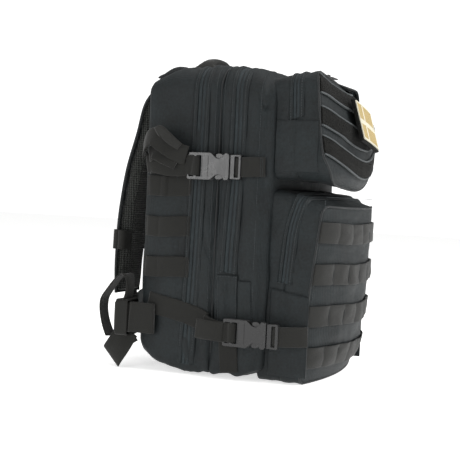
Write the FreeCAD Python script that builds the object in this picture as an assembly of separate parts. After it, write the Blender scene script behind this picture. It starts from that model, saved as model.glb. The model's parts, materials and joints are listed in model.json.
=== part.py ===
import FreeCAD
import Part
import math
import os

from FreeCAD import Vector

os.makedirs("parts", exist_ok=True)

# Frame: +Z up, origin under the middle of the base, front pockets towards -Y,
# the wearer's back towards +Y, the wearer's left side at -X. Millimetres.

# ---- driving dimensions -------------------------------------------------
PACK_WIDTH = 250.0
PACK_HEIGHT = 388.0
REAR_Y = 110.0            # rear wall of the rear compartment
MAIN_ZIP_Y = 38.0         # zipper between rear and middle shells
DIVIDER_Y = 13.0          # wall between the two compartments
SECOND_ZIP_Y = -12.0      # zipper between middle and front shells
FRONT_Y = -50.0           # front wall that carries the pockets
CORNER_R = 30.0           # side/top and side/base corners
REAR_EDGE_R = 26.0        # rear edges of the rear shell
WALL = 3.0
ZIP_TAPE = 10.0
MAIN_ZIP_END = 34.0       # height where the main zipper stops
SECOND_ZIP_END = 137.0

POCKET_STEP = 12.5         # each side of the pockets stops this far short of the pack
POCKET_WIDTH = PACK_WIDTH - 2 * POCKET_STEP
LOWER_TOP = 232.0
LOWER_SEAM_Y = -112.0     # where the side panels meet the crowned face
LOWER_FACE_Y = -140.0     # middle of the crowned face
LOWER_ZIP_END = 118.0
LOWER_ZIP_Y = -84.0
LOWER_HINGE_Z = 108.0
UPPER_BOTTOM = 250.0
UPPER_TOP = 385.0
UPPER_SEAM_Y = -108.0
UPPER_FACE_Y = -140.0
UPPER_ZIP_Y = -83.0
UPPER_ZIP_END = 322.0
UPPER_HINGE_Z = 285.0
COVER_HINGE_Y = -110.0
COVER_OPEN_DEG = 25.0
POCKET_CORNER_R = 22.0
SLOPE_START = 66.0        # how far below its top the upper pocket's face leans back
SLOPE_HEIGHT = 40.0
SLOPE_DEPTH = 24.0

WEB_WIDTH = 25.4          # load-carrying webbing
WEB_PITCH = 50.8
WEB_THICK = 1.6
SIDE_ROW_BASE = 122.0     # bottom of the lowest side row
FRONT_ROW_BASE = 21.0
BELT_WIDTH = 38.0
STRAP_THICK = 14.0        # padded shoulder strap
STRAP_WIDTH = 62.0
HANDLE_SPAN = 84.0
HANDLE_RISE = 20.0
HANDLE_WIDTH = 22.0
HANDLE_THICK = 7.0
PAD_THICK = 12.0

BUCKLE_WIDTH = 34.0
BUCKLE_THICK = 8.0
UPPER_BUCKLE_Z = 264.0
LOWER_BUCKLE_Z = 60.0
SOCKET_LENGTH = 42.0
PLUG_LENGTH = 20.0
PRONG_REACH = 20.0
SOCKET_TRAVEL = 26.0
FIT = 0.3                 # clearance between pieces that move apart
SLIDER_LENGTH = 11.0
SLIDER_WIDTH = 9.0
TAB_LENGTH = 26.0

HALF = PACK_WIDTH / 2
POCKET_HALF = POCKET_WIDTH / 2
BUCKLE_X = HALF + 5.0     # inner face of the buckles on the left side, mirrored


# ---- helpers ------------------------------------------------------------
def box(x0, x1, y0, y1, z0, z1):
    return Part.makeBox(x1 - x0, y1 - y0, z1 - z0, Vector(x0, y0, z0))


def rounded_plate(a0, a1, b0, b1, radius, to_point, push):
    """A rectangle with round corners in a plane, pushed into a solid."""
    r = max(radius, 0.5)
    s = r * (1 - math.sqrt(0.5))
    p = to_point
    arcs = [
        ((a1 - r, b0), (a1 - s, b0 + s), (a1, b0 + r)),
        ((a1, b1 - r), (a1 - s, b1 - s), (a1 - r, b1)),
        ((a0 + r, b1), (a0 + s, b1 - s), (a0, b1 - r)),
        ((a0, b0 + r), (a0 + s, b0 + s), (a0 + r, b0)),
    ]
    edges = []
    for i, arc in enumerate(arcs):
        edges.append(Part.Arc(p(*arc[0]), p(*arc[1]), p(*arc[2])).toShape())
        following = arcs[(i + 1) % 4][0]
        if (p(*arc[2]) - p(*following)).Length > 1e-6:
            edges.append(Part.makeLine(p(*arc[2]), p(*following)))
    return Part.Face(Part.Wire(edges)).extrude(push)


def front_outline(x0, x1, z0, z1, radius, y0, y1):
    return rounded_plate(x0, x1, z0, z1, radius, lambda a, b: Vector(a, y0, b), Vector(0, y1 - y0, 0))


def side_outline(y0, y1, z0, z1, radius, x0, x1):
    return rounded_plate(y0, y1, z0, z1, radius, lambda a, b: Vector(x0, a, b), Vector(x1 - x0, 0, 0))


def side_polygon(points, x0, x1):
    """A solid across the pack from an outline given as (y, z) points."""
    loop = [Vector(x0, y, z) for y, z in points]
    return Part.Face(Part.makePolygon(loop + [loop[0]])).extrude(Vector(x1 - x0, 0, 0))


def band(path, thick, x0, x1, smooth=True):
    """Webbing of one thickness along (y, z) points, spanning x0 to x1."""
    offsets = []
    for i, (y, z) in enumerate(path):
        before = path[max(i - 1, 0)]
        after = path[min(i + 1, len(path) - 1)]
        dy, dz = after[0] - before[0], after[1] - before[1]
        length = math.hypot(dy, dz)
        offsets.append((y + dz / length * thick, z - dy / length * thick))
    near = [Vector(x0, y, z) for y, z in path]
    far = [Vector(x0, y, z) for y, z in offsets]
    if smooth:
        sides = []
        for points in (near, far):
            curve = Part.BSplineCurve()
            curve.interpolate(points)
            sides.append(curve.toShape())
        ends = [Part.makeLine(near[0], far[0]), Part.makeLine(near[-1], far[-1])]
        wire = Part.Wire(Part.__sortEdges__(sides + ends))
    else:
        loop = near + far[::-1]
        wire = Part.makePolygon(loop + [loop[0]])
    return Part.Face(wire).extrude(Vector(x1 - x0, 0, 0))


def mirrored(shape):
    return shape.mirror(Vector(0, 0, 0), Vector(1, 0, 0))


def both_sides(*shapes):
    return Part.makeCompound([s for shape in shapes for s in (shape, mirrored(shape))])


def save(name, shape):
    shape.exportStep("parts/" + name + ".step")


# ---- the two compartments ------------------------------------------------
def pack_block(inset):
    front = front_outline(
        -HALF + inset, HALF - inset, inset, PACK_HEIGHT - inset, CORNER_R - inset,
        FRONT_Y + inset, REAR_Y - inset,
    )
    long_front = REAR_EDGE_R * 2
    side = side_outline(
        FRONT_Y - long_front, REAR_Y - inset, inset, PACK_HEIGHT - inset, REAR_EDGE_R - inset, -HALF, HALF
    )
    return front.common(side)


def slab(y0, y1, z0=-10.0, z1=PACK_HEIGHT + 10.0):
    return box(-HALF - 10, HALF + 10, y0, y1, z0, z1)


def compartments():
    skin = pack_block(0).cut(pack_block(WALL))
    half_tape = ZIP_TAPE / 2
    main = (MAIN_ZIP_Y - half_tape, MAIN_ZIP_Y + half_tape)
    second = (SECOND_ZIP_Y - half_tape, SECOND_ZIP_Y + half_tape)
    save("rear_shell", skin.common(slab(main[1], REAR_Y + 10)))
    save("main_zipper", skin.common(slab(main[0], main[1], MAIN_ZIP_END)))
    save("second_zipper", skin.common(slab(second[0], second[1], SECOND_ZIP_END)))
    middle = skin.common(slab(second[1], main[0]))
    divider = pack_block(WALL).common(slab(DIVIDER_Y - 1, DIVIDER_Y + 1))
    hinge_gusset = skin.common(slab(main[0], main[1], -10, MAIN_ZIP_END))
    lower_gusset = skin.common(slab(second[0], second[1], -10, SECOND_ZIP_END))
    save("middle_shell", middle.fuse([divider, hinge_gusset, lower_gusset]).removeSplitter())
    save("front_shell", skin.common(slab(FRONT_Y - 10, second[0])))


def inner_pieces():
    sheet_y = REAR_Y - WALL
    half, top = HALF - 25, PACK_HEIGHT - 38
    save("frame_sheet", front_outline(-half, half, 40, top, 25, sheet_y - 2.0, sheet_y))
    sleeve_y = sheet_y - 2.0 - 8.0
    half, top = HALF - 35, PACK_HEIGHT - 88
    save("hydration_sleeve", front_outline(-half, half, 45, top, 20, sleeve_y, sheet_y - 2.0 - FIT))


# ---- front pockets ---------------------------------------------------------
def crowned_plan(half, seam_y, face_y, z0, z1):
    """Plan outline with a crowned front, pushed up from z0 to z1."""
    points = [Vector(-half, FRONT_Y, z0), Vector(half, FRONT_Y, z0)]
    left, right = Vector(-half, seam_y, z0), Vector(half, seam_y, z0)
    crown = Part.Arc(right, Vector(0, face_y, z0), left).toShape()
    edges = [
        Part.makeLine(points[0], points[1]),
        Part.makeLine(points[1], right),
        crown,
        Part.makeLine(left, points[0]),
    ]
    return Part.Face(Part.Wire(edges)).extrude(Vector(0, 0, z1 - z0))


def pocket_block(inset, seam_y, face_y, z0, z1, profile):
    half = POCKET_HALF - inset
    plan = crowned_plan(half, seam_y + inset, face_y + inset, z0 + inset, z1 - inset)
    front = front_outline(-half, half, z0 + inset, z1 - inset, POCKET_CORNER_R - inset, face_y - 5, FRONT_Y)
    side = side_polygon(profile(inset), -POCKET_HALF, POCKET_HALF)
    return plan.common(front).common(side)


def lower_profile(i):
    face = LOWER_FACE_Y - 1 + i
    return [
        (FRONT_Y, i), (face + 26, i), (face + 6, 24 + i), (face, 70),
        (face, LOWER_TOP - 26), (face + 22, LOWER_TOP - i), (FRONT_Y, LOWER_TOP - i),
    ]


def upper_profile(i):
    face = UPPER_FACE_Y - 1 + i
    return [
        (FRONT_Y, UPPER_BOTTOM + i), (face + 18, UPPER_BOTTOM + i),
        (face, UPPER_BOTTOM + 18), (face, UPPER_TOP - SLOPE_START),
        (face + SLOPE_DEPTH, UPPER_TOP - SLOPE_START + SLOPE_HEIGHT),
        (face + SLOPE_DEPTH * 2, UPPER_TOP - i),
        (FRONT_Y, UPPER_TOP - i),
    ]


def pocket(name, seam_y, face_y, z0, z1, profile, zip_y, zip_end, hinge_z):
    """Splits a pocket at its zipper and at the line that its cover folds on."""
    skin = pocket_block(0, seam_y, face_y, z0, z1, profile).cut(
        pocket_block(WALL, seam_y, face_y, z0, z1, profile)
    )
    half_tape = ZIP_TAPE / 2
    behind, ahead = zip_y + half_tape, zip_y - half_tape - FIT
    drop = (COVER_HINGE_Y - face_y) * math.tan(math.radians(COVER_OPEN_DEG)) + 2.0
    above = z1 + 10
    rise = hinge_z + FIT
    cover_region = side_polygon(
        [(ahead, rise), (ahead, above), (face_y - 20, above), (face_y - 20, hinge_z + drop + 8),
         (COVER_HINGE_Y, rise)],
        -POCKET_HALF - 5, POCKET_HALF + 5,
    )
    reach = POCKET_HALF + 5
    tape_region = box(-reach, reach, zip_y - half_tape, behind, zip_end, above)
    rest = box(-reach, reach, zip_y - half_tape, FRONT_Y + 5, z0 - 5, above).cut(tape_region)
    low = box(-reach, reach, face_y - 20, zip_y - half_tape, z0 - 5, hinge_z)
    save(name + "_cover", skin.common(cover_region))
    save(name + "_base", skin.common(rest.fuse(low)).removeSplitter())
    return skin.common(tape_region)


def pockets():
    tapes = [
        pocket("lower_pocket", LOWER_SEAM_Y, LOWER_FACE_Y, 0, LOWER_TOP, lower_profile,
               LOWER_ZIP_Y, LOWER_ZIP_END, LOWER_HINGE_Z),
        pocket("upper_pocket", UPPER_SEAM_Y, UPPER_FACE_Y, UPPER_BOTTOM, UPPER_TOP, upper_profile,
               UPPER_ZIP_Y, UPPER_ZIP_END, UPPER_HINGE_Z),
    ]
    save("pocket_zippers", Part.makeCompound(tapes))


def face_strip(seam_y, face_y, z0, z1, thick):
    """A strip that lies on a crowned pocket face, a hair in front of it."""
    reach = POCKET_HALF
    curve_in = [Vector(-reach, seam_y, z0), Vector(0, face_y, z0), Vector(reach, seam_y, z0)]
    curve_out = [point - Vector(0, thick, 0) for point in curve_in]
    edges = [
        Part.Arc(*curve_out).toShape(),
        Part.makeLine(curve_out[2], curve_in[2]),
        Part.Arc(*curve_in[::-1]).toShape(),
        Part.makeLine(curve_in[0], curve_out[0]),
    ]
    strip = Part.Face(Part.Wire(Part.__sortEdges__(edges))).extrude(Vector(0, 0, z1 - z0))
    return strip.common(box(2 - reach, reach - 2, face_y - 10, seam_y, z0, z1))


def front_rows():
    lower_rows = []
    for row in range(4):
        z0 = FRONT_ROW_BASE + row * WEB_PITCH
        gap = FIT if row else FIT + 2
        lower_rows.append(face_strip(LOWER_SEAM_Y - gap, LOWER_FACE_Y - gap, z0, z0 + WEB_WIDTH, WEB_THICK))
    save("lower_base_webbing", Part.makeCompound(lower_rows[:2]))
    save("lower_cover_webbing", Part.makeCompound(lower_rows[2:]))
    strips = []
    for z0, z1 in ((UPPER_HINGE_Z - 27, UPPER_HINGE_Z - 4), (UPPER_HINGE_Z + 17, UPPER_HINGE_Z + 33)):
        strips.append(face_strip(UPPER_SEAM_Y - FIT, UPPER_FACE_Y - FIT, z0, z1, 1.5))
    save("lower_loop_strip", strips[0])
    save("upper_loop_strip", strips[1])
    slope = math.degrees(math.atan2(SLOPE_DEPTH, SLOPE_HEIGHT))
    middle = Vector(0, UPPER_FACE_Y + SLOPE_DEPTH / 2 - 2, UPPER_TOP - SLOPE_START + SLOPE_HEIGHT / 2)
    patch = box(-30, 30, middle.y - 2.5, middle.y - 0.5, middle.z - 20, middle.z + 20)
    patch.rotate(middle, Vector(1, 0, 0), -slope)
    save("patch", patch)


def side_rows():
    rows = []
    for row in range(4):
        z0 = SIDE_ROW_BASE + row * WEB_PITCH
        rows.append(box(-HALF - WEB_THICK, -HALF, MAIN_ZIP_Y + ZIP_TAPE / 2, REAR_Y - 2, z0, z0 + WEB_WIDTH))
    save("side_webbing", both_sides(*rows))


# ---- buckles and compression straps ---------------------------------------
STRAP_Z = SIDE_ROW_BASE + 2 * WEB_PITCH + (WEB_PITCH + WEB_WIDTH) / 2
STRAP_WEB = WEB_PITCH - WEB_WIDTH - 4 * FIT
UPPER_MOUTH_Y = -8.0
LOWER_MOUTH_Y = -66.0
BUCKLE_MID_X = -(BUCKLE_X + BUCKLE_THICK / 2)
SOCKET_BODY = 38.0        # mouth to ladder
LADDER = 19.0             # length of the two ladder windows and their bars
BAR = 3.0
PRONG_Z = 10.0
ARM = 3.0


def socket(mouth_y, z):
    half_w, half_t = BUCKLE_WIDTH / 2, BUCKLE_THICK / 2
    x0, x1 = BUCKLE_MID_X - half_t, BUCKLE_MID_X + half_t
    end = mouth_y + SOCKET_BODY + LADDER
    body = box(x0, x1, mouth_y, end, z - half_w, z + half_w)
    cavity = box(x0 + 1.7, x1 - 1.7, mouth_y - 1, mouth_y + PRONG_REACH + 3, z - half_w + 4, z + half_w - 4)
    cuts = [cavity]
    for side in (-1, 1):
        edge = z + side * half_w
        low, high = sorted((edge, edge - side * 6))
        cuts.append(box(x0 - 1, x1 + 1, mouth_y + 7, mouth_y + PRONG_REACH + 1, low, high))
    window = (LADDER - 2 * BAR) / 2
    first = mouth_y + SOCKET_BODY
    for start in (first, first + window + BAR):
        low, high = z - STRAP_WEB / 2 - FIT * 2, z + STRAP_WEB / 2 + FIT * 2
        cuts.append(box(x0 - 1, x1 + 1, start, start + window, low, high))
    return body.cut(Part.makeCompound(cuts))


def plug(mouth_y, z):
    half_w, half_t = BUCKLE_WIDTH / 2, BUCKLE_THICK / 2
    x0, x1 = BUCKLE_MID_X - half_t + 1, BUCKLE_MID_X + half_t - 1
    frame = box(x0, x1, mouth_y - 15, mouth_y - FIT, z - half_w + 2, z + half_w - 2)
    slot = box(x0 - 1, x1 + 1, mouth_y - 11, mouth_y - 7, z - STRAP_WEB / 2, z + STRAP_WEB / 2)
    tongue = box(x0 + 1, x1 - 1, mouth_y - FIT, mouth_y + PRONG_REACH - 2, z - 3, z + 3)
    return frame.cut(slot).fuse(tongue).removeSplitter()


def prong(mouth_y, z, side):
    half_t = BUCKLE_THICK / 2
    x0, x1 = BUCKLE_MID_X - half_t + 2, BUCKLE_MID_X + half_t - 2
    inner = z + side * (PRONG_Z - ARM / 2)
    outer = z + side * (PRONG_Z + ARM / 2)
    tip = z + side * (BUCKLE_WIDTH / 2 - 0.8)
    start, reach = mouth_y + 0.6, mouth_y + PRONG_REACH
    points = [
        (start, inner), (reach, inner), (reach, outer), (reach - 1, tip), (reach - 8, tip),
        (start + 5, outer), (start, outer),
    ]
    return side_polygon(points, x0, x1)


def flat_band(path, thick, z0, z1):
    """Webbing on edge: an outline from (x, y) points, pushed up from z0 to z1."""
    outline = []
    for i, (x, y) in enumerate(path):
        before, after = path[max(i - 1, 0)], path[min(i + 1, len(path) - 1)]
        dx, dy = after[0] - before[0], after[1] - before[1]
        length = math.hypot(dx, dy)
        outline.append((x - dy / length * thick, y + dx / length * thick))
    loop = [Vector(x, y, z0) for x, y in path + outline[::-1]]
    return Part.Face(Part.makePolygon(loop + [loop[0]])).extrude(Vector(0, 0, z1 - z0))


def compression_straps():
    skin_x = -HALF - 0.1
    low, high = STRAP_Z - STRAP_WEB / 2, STRAP_Z + STRAP_WEB / 2
    ladder_y = UPPER_MOUTH_Y + SOCKET_BODY + LADDER + SOCKET_TRAVEL
    upper = flat_band([(skin_x, ladder_y + 8), (skin_x, REAR_Y - 2)], WEB_THICK, low, high)
    lower_ladder = LOWER_MOUTH_Y + SOCKET_BODY + LADDER + SOCKET_TRAVEL
    z_rear, z_front = LOWER_BUCKLE_Z + 29, LOWER_BUCKLE_Z + 6
    half = STRAP_WEB / 2
    slanted = side_polygon(
        [(REAR_Y - 2, z_rear - half), (REAR_Y - 2, z_rear + half), (lower_ladder + 2, z_front + half),
         (lower_ladder + 2, z_front - half)],
        skin_x - WEB_THICK, skin_x,
    )
    tab_x = BUCKLE_MID_X
    upper_path = [(skin_x, FRONT_Y + 3), (skin_x, FRONT_Y + 10), (tab_x + 1, UPPER_MOUTH_Y - 15.5)]
    upper_tab = flat_band(upper_path, WEB_THICK, low, high)
    low, high = LOWER_BUCKLE_Z - half, LOWER_BUCKLE_Z + half
    pocket_x = -POCKET_HALF - 0.2
    lower_path = [
        (pocket_x, LOWER_SEAM_Y + 1), (pocket_x - 4, LOWER_SEAM_Y + 10), (tab_x + 1, LOWER_MOUTH_Y - 15.5),
    ]
    lower_tab = flat_band(lower_path, WEB_THICK, low, high)
    save("compression_straps", both_sides(upper, slanted, upper_tab, lower_tab))

    places = (("upper", UPPER_MOUTH_Y, STRAP_Z), ("lower", LOWER_MOUTH_Y, LOWER_BUCKLE_Z))
    save("buckle_plugs", both_sides(*[plug(y, z) for _, y, z in places]))
    for level, mouth_y, z in places:
        ladder_end = mouth_y + SOCKET_BODY + LADDER
        x = BUCKLE_MID_X - BUCKLE_THICK / 2 - FIT
        if level == "upper":
            path = [
                (x, ladder_end - 8), (x - 6, ladder_end + 6),
                (x - 10, ladder_end + 24), (x - 3, ladder_end + 42),
            ]
            tail = flat_band(path, WEB_THICK * 2, z - half, z + half + 20)
        else:
            path = [(x, ladder_end - 8), (x - 3, ladder_end + 4), (x + 2, ladder_end + 32)]
            tail = flat_band(path, WEB_THICK * 2, z - half, z + half)
        pieces = {"socket": socket(mouth_y, z), "tail": tail, "prong_top": prong(mouth_y, z, 1),
                  "prong_bottom": prong(mouth_y, z, -1)}
        for piece, shape in pieces.items():
            save(f"{level}_{piece}_left", shape)
            save(f"{level}_{piece}_right", mirrored(shape))


# ---- zipper sliders ---------------------------------------------------------
def slider(x, y, z, way):
    """A slider on top of a zipper, its tab trailing towards way (-1 or 1) along X."""
    back, nose = x - way * SLIDER_LENGTH / 2, x + way * SLIDER_LENGTH / 2
    low = z + FIT
    plate = box(min(back, nose), max(back, nose), y - SLIDER_WIDTH / 2, y + SLIDER_WIDTH / 2, low, low + 1.6)
    bridge_ends = sorted((back + way * 2, nose - way))
    bridge = box(*bridge_ends, y - 1.5, y + 1.5, low + 1.6, low + 4.4)
    pivot = nose + way * 1.4
    near, far = pivot + way * 0.4, pivot + way * TAB_LENGTH
    tab = box(min(near, far), max(near, far), y - 3, y + 3, low + 1.0, low + 2.6)
    return plate.fuse(bridge).removeSplitter(), tab


def sliders():
    places = {
        "main_left": (-12, MAIN_ZIP_Y, PACK_HEIGHT, -1),
        "main_right": (12, MAIN_ZIP_Y, PACK_HEIGHT, 1),
        "second_left": (-12, SECOND_ZIP_Y, PACK_HEIGHT, -1),
        "second_right": (12, SECOND_ZIP_Y, PACK_HEIGHT, 1),
        "upper_pocket": (0, UPPER_ZIP_Y, UPPER_TOP, 1),
        "lower_pocket": (0, LOWER_ZIP_Y, LOWER_TOP, 1),
    }
    for name, place in places.items():
        body, tab = slider(*place)
        save(name + "_slider", body)
        save(name + "_pull_tab", tab)


# ---- back, straps and belt ----------------------------------------------------
STRAP_INNER_X = 32.0
STRAP_TOP_Z = PACK_HEIGHT - 36.0
STRAP_END_Z = 92.0
# (distance from the rear wall, distance down from the strap's top) for a 260 mm run
STRAP_BOW = [(14, 17), (23, 52), (36, 97), (43, 139), (46, 172), (47, 222), (45, 260)]
STRAP_STRETCH = (STRAP_TOP_Z - STRAP_END_Z) / 260.0
STRAP_PATH = [(REAR_Y + FIT, STRAP_TOP_Z)]
STRAP_PATH += [(REAR_Y + out, STRAP_TOP_Z - down * STRAP_STRETCH) for out, down in STRAP_BOW]
PAD_TOP = PACK_HEIGHT - 78.0
PAD_HALF = HALF - 20.0


def back_pieces():
    pad_front = REAR_Y + FIT
    save("back_pad", front_outline(-PAD_HALF, PAD_HALF, 45, PAD_TOP, 28, pad_front, pad_front + PAD_THICK))
    for name, flip in (("left", 1), ("right", -1)):
        x0, x1 = sorted((-flip * (STRAP_INNER_X + STRAP_WIDTH), -flip * STRAP_INNER_X))
        save("shoulder_strap_" + name, band(STRAP_PATH, -STRAP_THICK, x0, x1))
    end_y, end_z = STRAP_PATH[-1]
    mid = STRAP_INNER_X + STRAP_WIDTH / 2
    web = side_polygon(
        [(REAR_Y + FIT, 30), (REAR_Y + FIT + 4, 26), (end_y + 8, end_z - 26), (end_y + 5, end_z - 24)],
        -mid - WEB_WIDTH / 2, -mid + WEB_WIDTH / 2,
    )
    save("shoulder_webbing", both_sides(web))
    lock = box(-mid - 16, -mid + 16, end_y + 1, end_y + 9, end_z - 22, end_z - 2)
    gap = box(-mid - 13, -mid + 13, end_y, end_y + 10, end_z - 16, end_z - 10)
    save("shoulder_adjusters", both_sides(lock.cut(gap)))


def chest_pieces():
    y = max(point[0] for point in STRAP_PATH) + STRAP_THICK + 1
    z0 = 150.0
    z1 = z0 + WEB_WIDTH
    reach = STRAP_INNER_X + STRAP_WIDTH
    run = box(-reach, -24, y, y + WEB_THICK, z0, z1)
    save("chest_strap", both_sides(run))
    halves = [box(-24, -1, y - 3, y + 5, z0 - 3, z1 + 3), box(-1 + FIT, 24, y - 3, y + 5, z0 - 3, z1 + 3)]
    save("chest_buckle", Part.makeCompound(halves))


def waist_belts():
    z0 = 48.0
    z1 = z0 + BELT_WIDTH
    fold = box(-HALF - 12, -HALF - 3, REAR_Y - 16, REAR_Y + 14, z0, z1)
    bundle = box(-HALF - 12, -HALF + 18, REAR_Y + 14, REAR_Y + 34, z0, z1)
    root = box(-HALF + 6, -HALF + 18, REAR_Y + FIT, REAR_Y + 14, z0, z1)
    tail_outline = [(REAR_Y + 30, z0), (REAR_Y + 58, z0), (REAR_Y + 44, 3), (REAR_Y + 16, 3)]
    tail = side_polygon(tail_outline, -HALF - 6, -HALF - 3)
    belt = fold.fuse([bundle, root, tail]).removeSplitter()
    save("waist_belt_left", belt)
    save("waist_belt_right", mirrored(belt))


def top_pieces():
    top = PACK_HEIGHT + FIT
    half_span = HANDLE_SPAN / 2
    radius = (half_span**2 + HANDLE_RISE**2) / (2 * HANDLE_RISE)
    rear_edge = REAR_Y - REAR_EDGE_R
    y0 = rear_edge - HANDLE_WIDTH
    centre = Vector(0, y0, top + HANDLE_RISE - radius)
    outer = Part.makeCylinder(radius, HANDLE_WIDTH, centre, Vector(0, 1, 0))
    inner = Part.makeCylinder(radius - HANDLE_THICK, HANDLE_WIDTH, centre, Vector(0, 1, 0))
    save("grab_handle", outer.cut(inner).common(box(-half_span, half_span, y0, rear_edge, top, top + 60)))
    flap_x = -(HALF - CORNER_R)
    save("hose_flap", box(flap_x, flap_x + 22, rear_edge - 30, rear_edge, top, top + 4))


compartments()
inner_pieces()
pockets()
front_rows()
side_rows()
compression_straps()
sliders()
back_pieces()
chest_pieces()
waist_belts()
top_pieces()
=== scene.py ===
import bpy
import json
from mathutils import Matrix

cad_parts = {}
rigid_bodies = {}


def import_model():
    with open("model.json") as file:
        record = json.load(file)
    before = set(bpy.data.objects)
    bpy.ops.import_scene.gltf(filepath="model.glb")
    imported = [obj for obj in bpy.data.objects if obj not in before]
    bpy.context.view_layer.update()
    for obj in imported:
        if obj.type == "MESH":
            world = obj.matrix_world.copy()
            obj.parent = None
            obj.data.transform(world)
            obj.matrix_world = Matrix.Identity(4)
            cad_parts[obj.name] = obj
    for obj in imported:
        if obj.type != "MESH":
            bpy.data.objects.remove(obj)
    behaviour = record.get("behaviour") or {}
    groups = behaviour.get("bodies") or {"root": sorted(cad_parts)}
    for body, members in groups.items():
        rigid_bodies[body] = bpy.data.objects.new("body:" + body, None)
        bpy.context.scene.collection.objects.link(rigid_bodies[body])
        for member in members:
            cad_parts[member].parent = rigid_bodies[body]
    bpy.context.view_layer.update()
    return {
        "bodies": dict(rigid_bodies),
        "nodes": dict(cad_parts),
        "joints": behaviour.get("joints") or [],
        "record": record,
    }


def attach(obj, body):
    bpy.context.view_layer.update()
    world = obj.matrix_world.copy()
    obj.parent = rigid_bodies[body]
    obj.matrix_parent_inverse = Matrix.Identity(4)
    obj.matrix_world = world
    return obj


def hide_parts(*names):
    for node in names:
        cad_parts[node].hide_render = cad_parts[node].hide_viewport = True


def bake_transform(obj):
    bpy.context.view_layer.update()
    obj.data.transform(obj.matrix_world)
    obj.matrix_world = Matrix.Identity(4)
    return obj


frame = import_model()

import json
import math

import bpy
import numpy as np
from mathutils import Vector, noise

MM = 0.001

# ---- where things are, in millimetres, in the pack's own frame -----------------------
HALF_WIDTH = 124.5
REAR_Y = 110.0
MAIN_ZIP_Y = 38.0
DIVIDER_Y = 13.0
SECOND_ZIP_Y = -12.0
FRONT_Y = -50.0
MAIN_ZIP_END = 34.0
SECOND_ZIP_END = 137.0
POCKET_HALF = 112.0
WEB = 25.4
PITCH = 50.8
SIDE_ROW_BASE = 122.0
FRONT_ROW_BASE = 21.0
STRAP_Z = SIDE_ROW_BASE + 2 * PITCH + (PITCH + WEB) / 2
BELT = 38.0


# ---- small helpers ----------------------------------------------------------------------
def smooth(edge0, edge1, x):
    t = np.clip((x - edge0) / (edge1 - edge0), 0.0, 1.0)
    return t * t * (3 - 2 * t)


def hill(x, centre, width):
    return np.exp(-((x - centre) / width) ** 2)


def ramp(x, xs, ys):
    """A curve through a few values, flat outside them."""
    return np.interp(x, xs, ys)


def soft_ramp(x, xs, ys):
    """As ramp, with its corners rounded by averaging nearby values."""
    span = (xs[-1] - xs[0]) if xs[-1] > xs[0] else 1.0
    step = abs(span) * 0.035
    return sum(np.interp(x + k * step, xs, ys) for k in (-2, -1, 0, 1, 2)) / 5


def cloth_noise(points, scale, seed=0.0):
    """Smooth noise, about -1 to 1, at each point (mm); scale is the bump size in mm."""
    flat = points.reshape(-1, 3) / scale + seed
    values = [noise.noise(Vector(p)) for p in flat]
    return np.array(values).reshape(points.shape[:-1])


def unit(v):
    return v / np.maximum(np.linalg.norm(v, axis=-1, keepdims=True), 1e-9)


def surface_normals(grid, closed_u=False):
    """Normals of a grid of points; u is the second index."""
    if closed_u:
        du = np.roll(grid, -1, axis=1) - np.roll(grid, 1, axis=1)
    else:
        du = np.gradient(grid, axis=1)
    dv = np.gradient(grid, axis=0)
    return unit(np.cross(du, dv))


# ---- meshes -----------------------------------------------------------------------------
class Builder:
    """Collects points, faces and a flat map, then makes one object."""

    def __init__(self, name):
        self.name = name
        self.points = []
        self.faces = []
        self.uvs = []
        self.slots = []

    def add(self, points, faces, uvs=None, slot=0):
        base = len(self.points)
        self.points.extend([tuple(p) for p in points])
        if uvs is None:
            uvs = [(0.0, 0.0)] * len(points)
        for face in faces:
            self.faces.append(tuple(base + i for i in face))
            self.uvs.append([tuple(uvs[i]) for i in face])
            self.slots.append(slot)

    def grid(self, grid, closed_u=False, closed_v=False, uv=None, slot=0):
        rows, columns = grid.shape[:2]
        faces = []
        for i in range(rows if closed_v else rows - 1):
            for j in range(columns if closed_u else columns - 1):
                a, b = i * columns + j, i * columns + (j + 1) % columns
                c, d = ((i + 1) % rows) * columns + (j + 1) % columns, ((i + 1) % rows) * columns + j
                faces.append((a, b, c, d))
        if uv is None:
            uv = np.stack(np.meshgrid(np.arange(columns), np.arange(rows)), axis=-1) * 0.002
        self.add(grid.reshape(-1, 3), faces, uv.reshape(-1, 2), slot)

    def fan(self, ring, slot=0):
        centre = np.mean(ring, axis=0)
        count = len(ring)
        faces = [(i, (i + 1) % count, count) for i in range(count)]
        self.add(list(ring) + [centre], faces, None, slot)

    def make(self, *materials, shade=True, merge=0.02, solid=True, crisp=False):
        """Points are in mm; the object is in metres, with its faces outwards."""
        import bmesh
        mesh = bpy.data.meshes.new(self.name)
        mesh.from_pydata([tuple(c * MM for c in p) for p in self.points], [], self.faces)
        layer = mesh.uv_layers.new(name="flat")
        for poly, uvs, slot in zip(mesh.polygons, self.uvs, self.slots):
            poly.material_index = slot
            for loop, value in zip(poly.loop_indices, uvs):
                layer.data[loop].uv = value
        bm = bmesh.new()
        bm.from_mesh(mesh)
        bmesh.ops.remove_doubles(bm, verts=bm.verts, dist=merge * MM)
        bmesh.ops.dissolve_degenerate(bm, dist=0.001 * MM, edges=bm.edges)
        if solid:
            bmesh.ops.recalc_face_normals(bm, faces=bm.faces)
        bm.to_mesh(mesh)
        bm.free()
        for poly in mesh.polygons:
            poly.use_smooth = shade
        if crisp:
            mesh.set_sharp_from_angle(angle=math.radians(18))
        piece = bpy.data.objects.new(self.name, mesh)
        bpy.context.collection.objects.link(piece)
        for material in materials:
            mesh.materials.append(material)
        return piece


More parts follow.
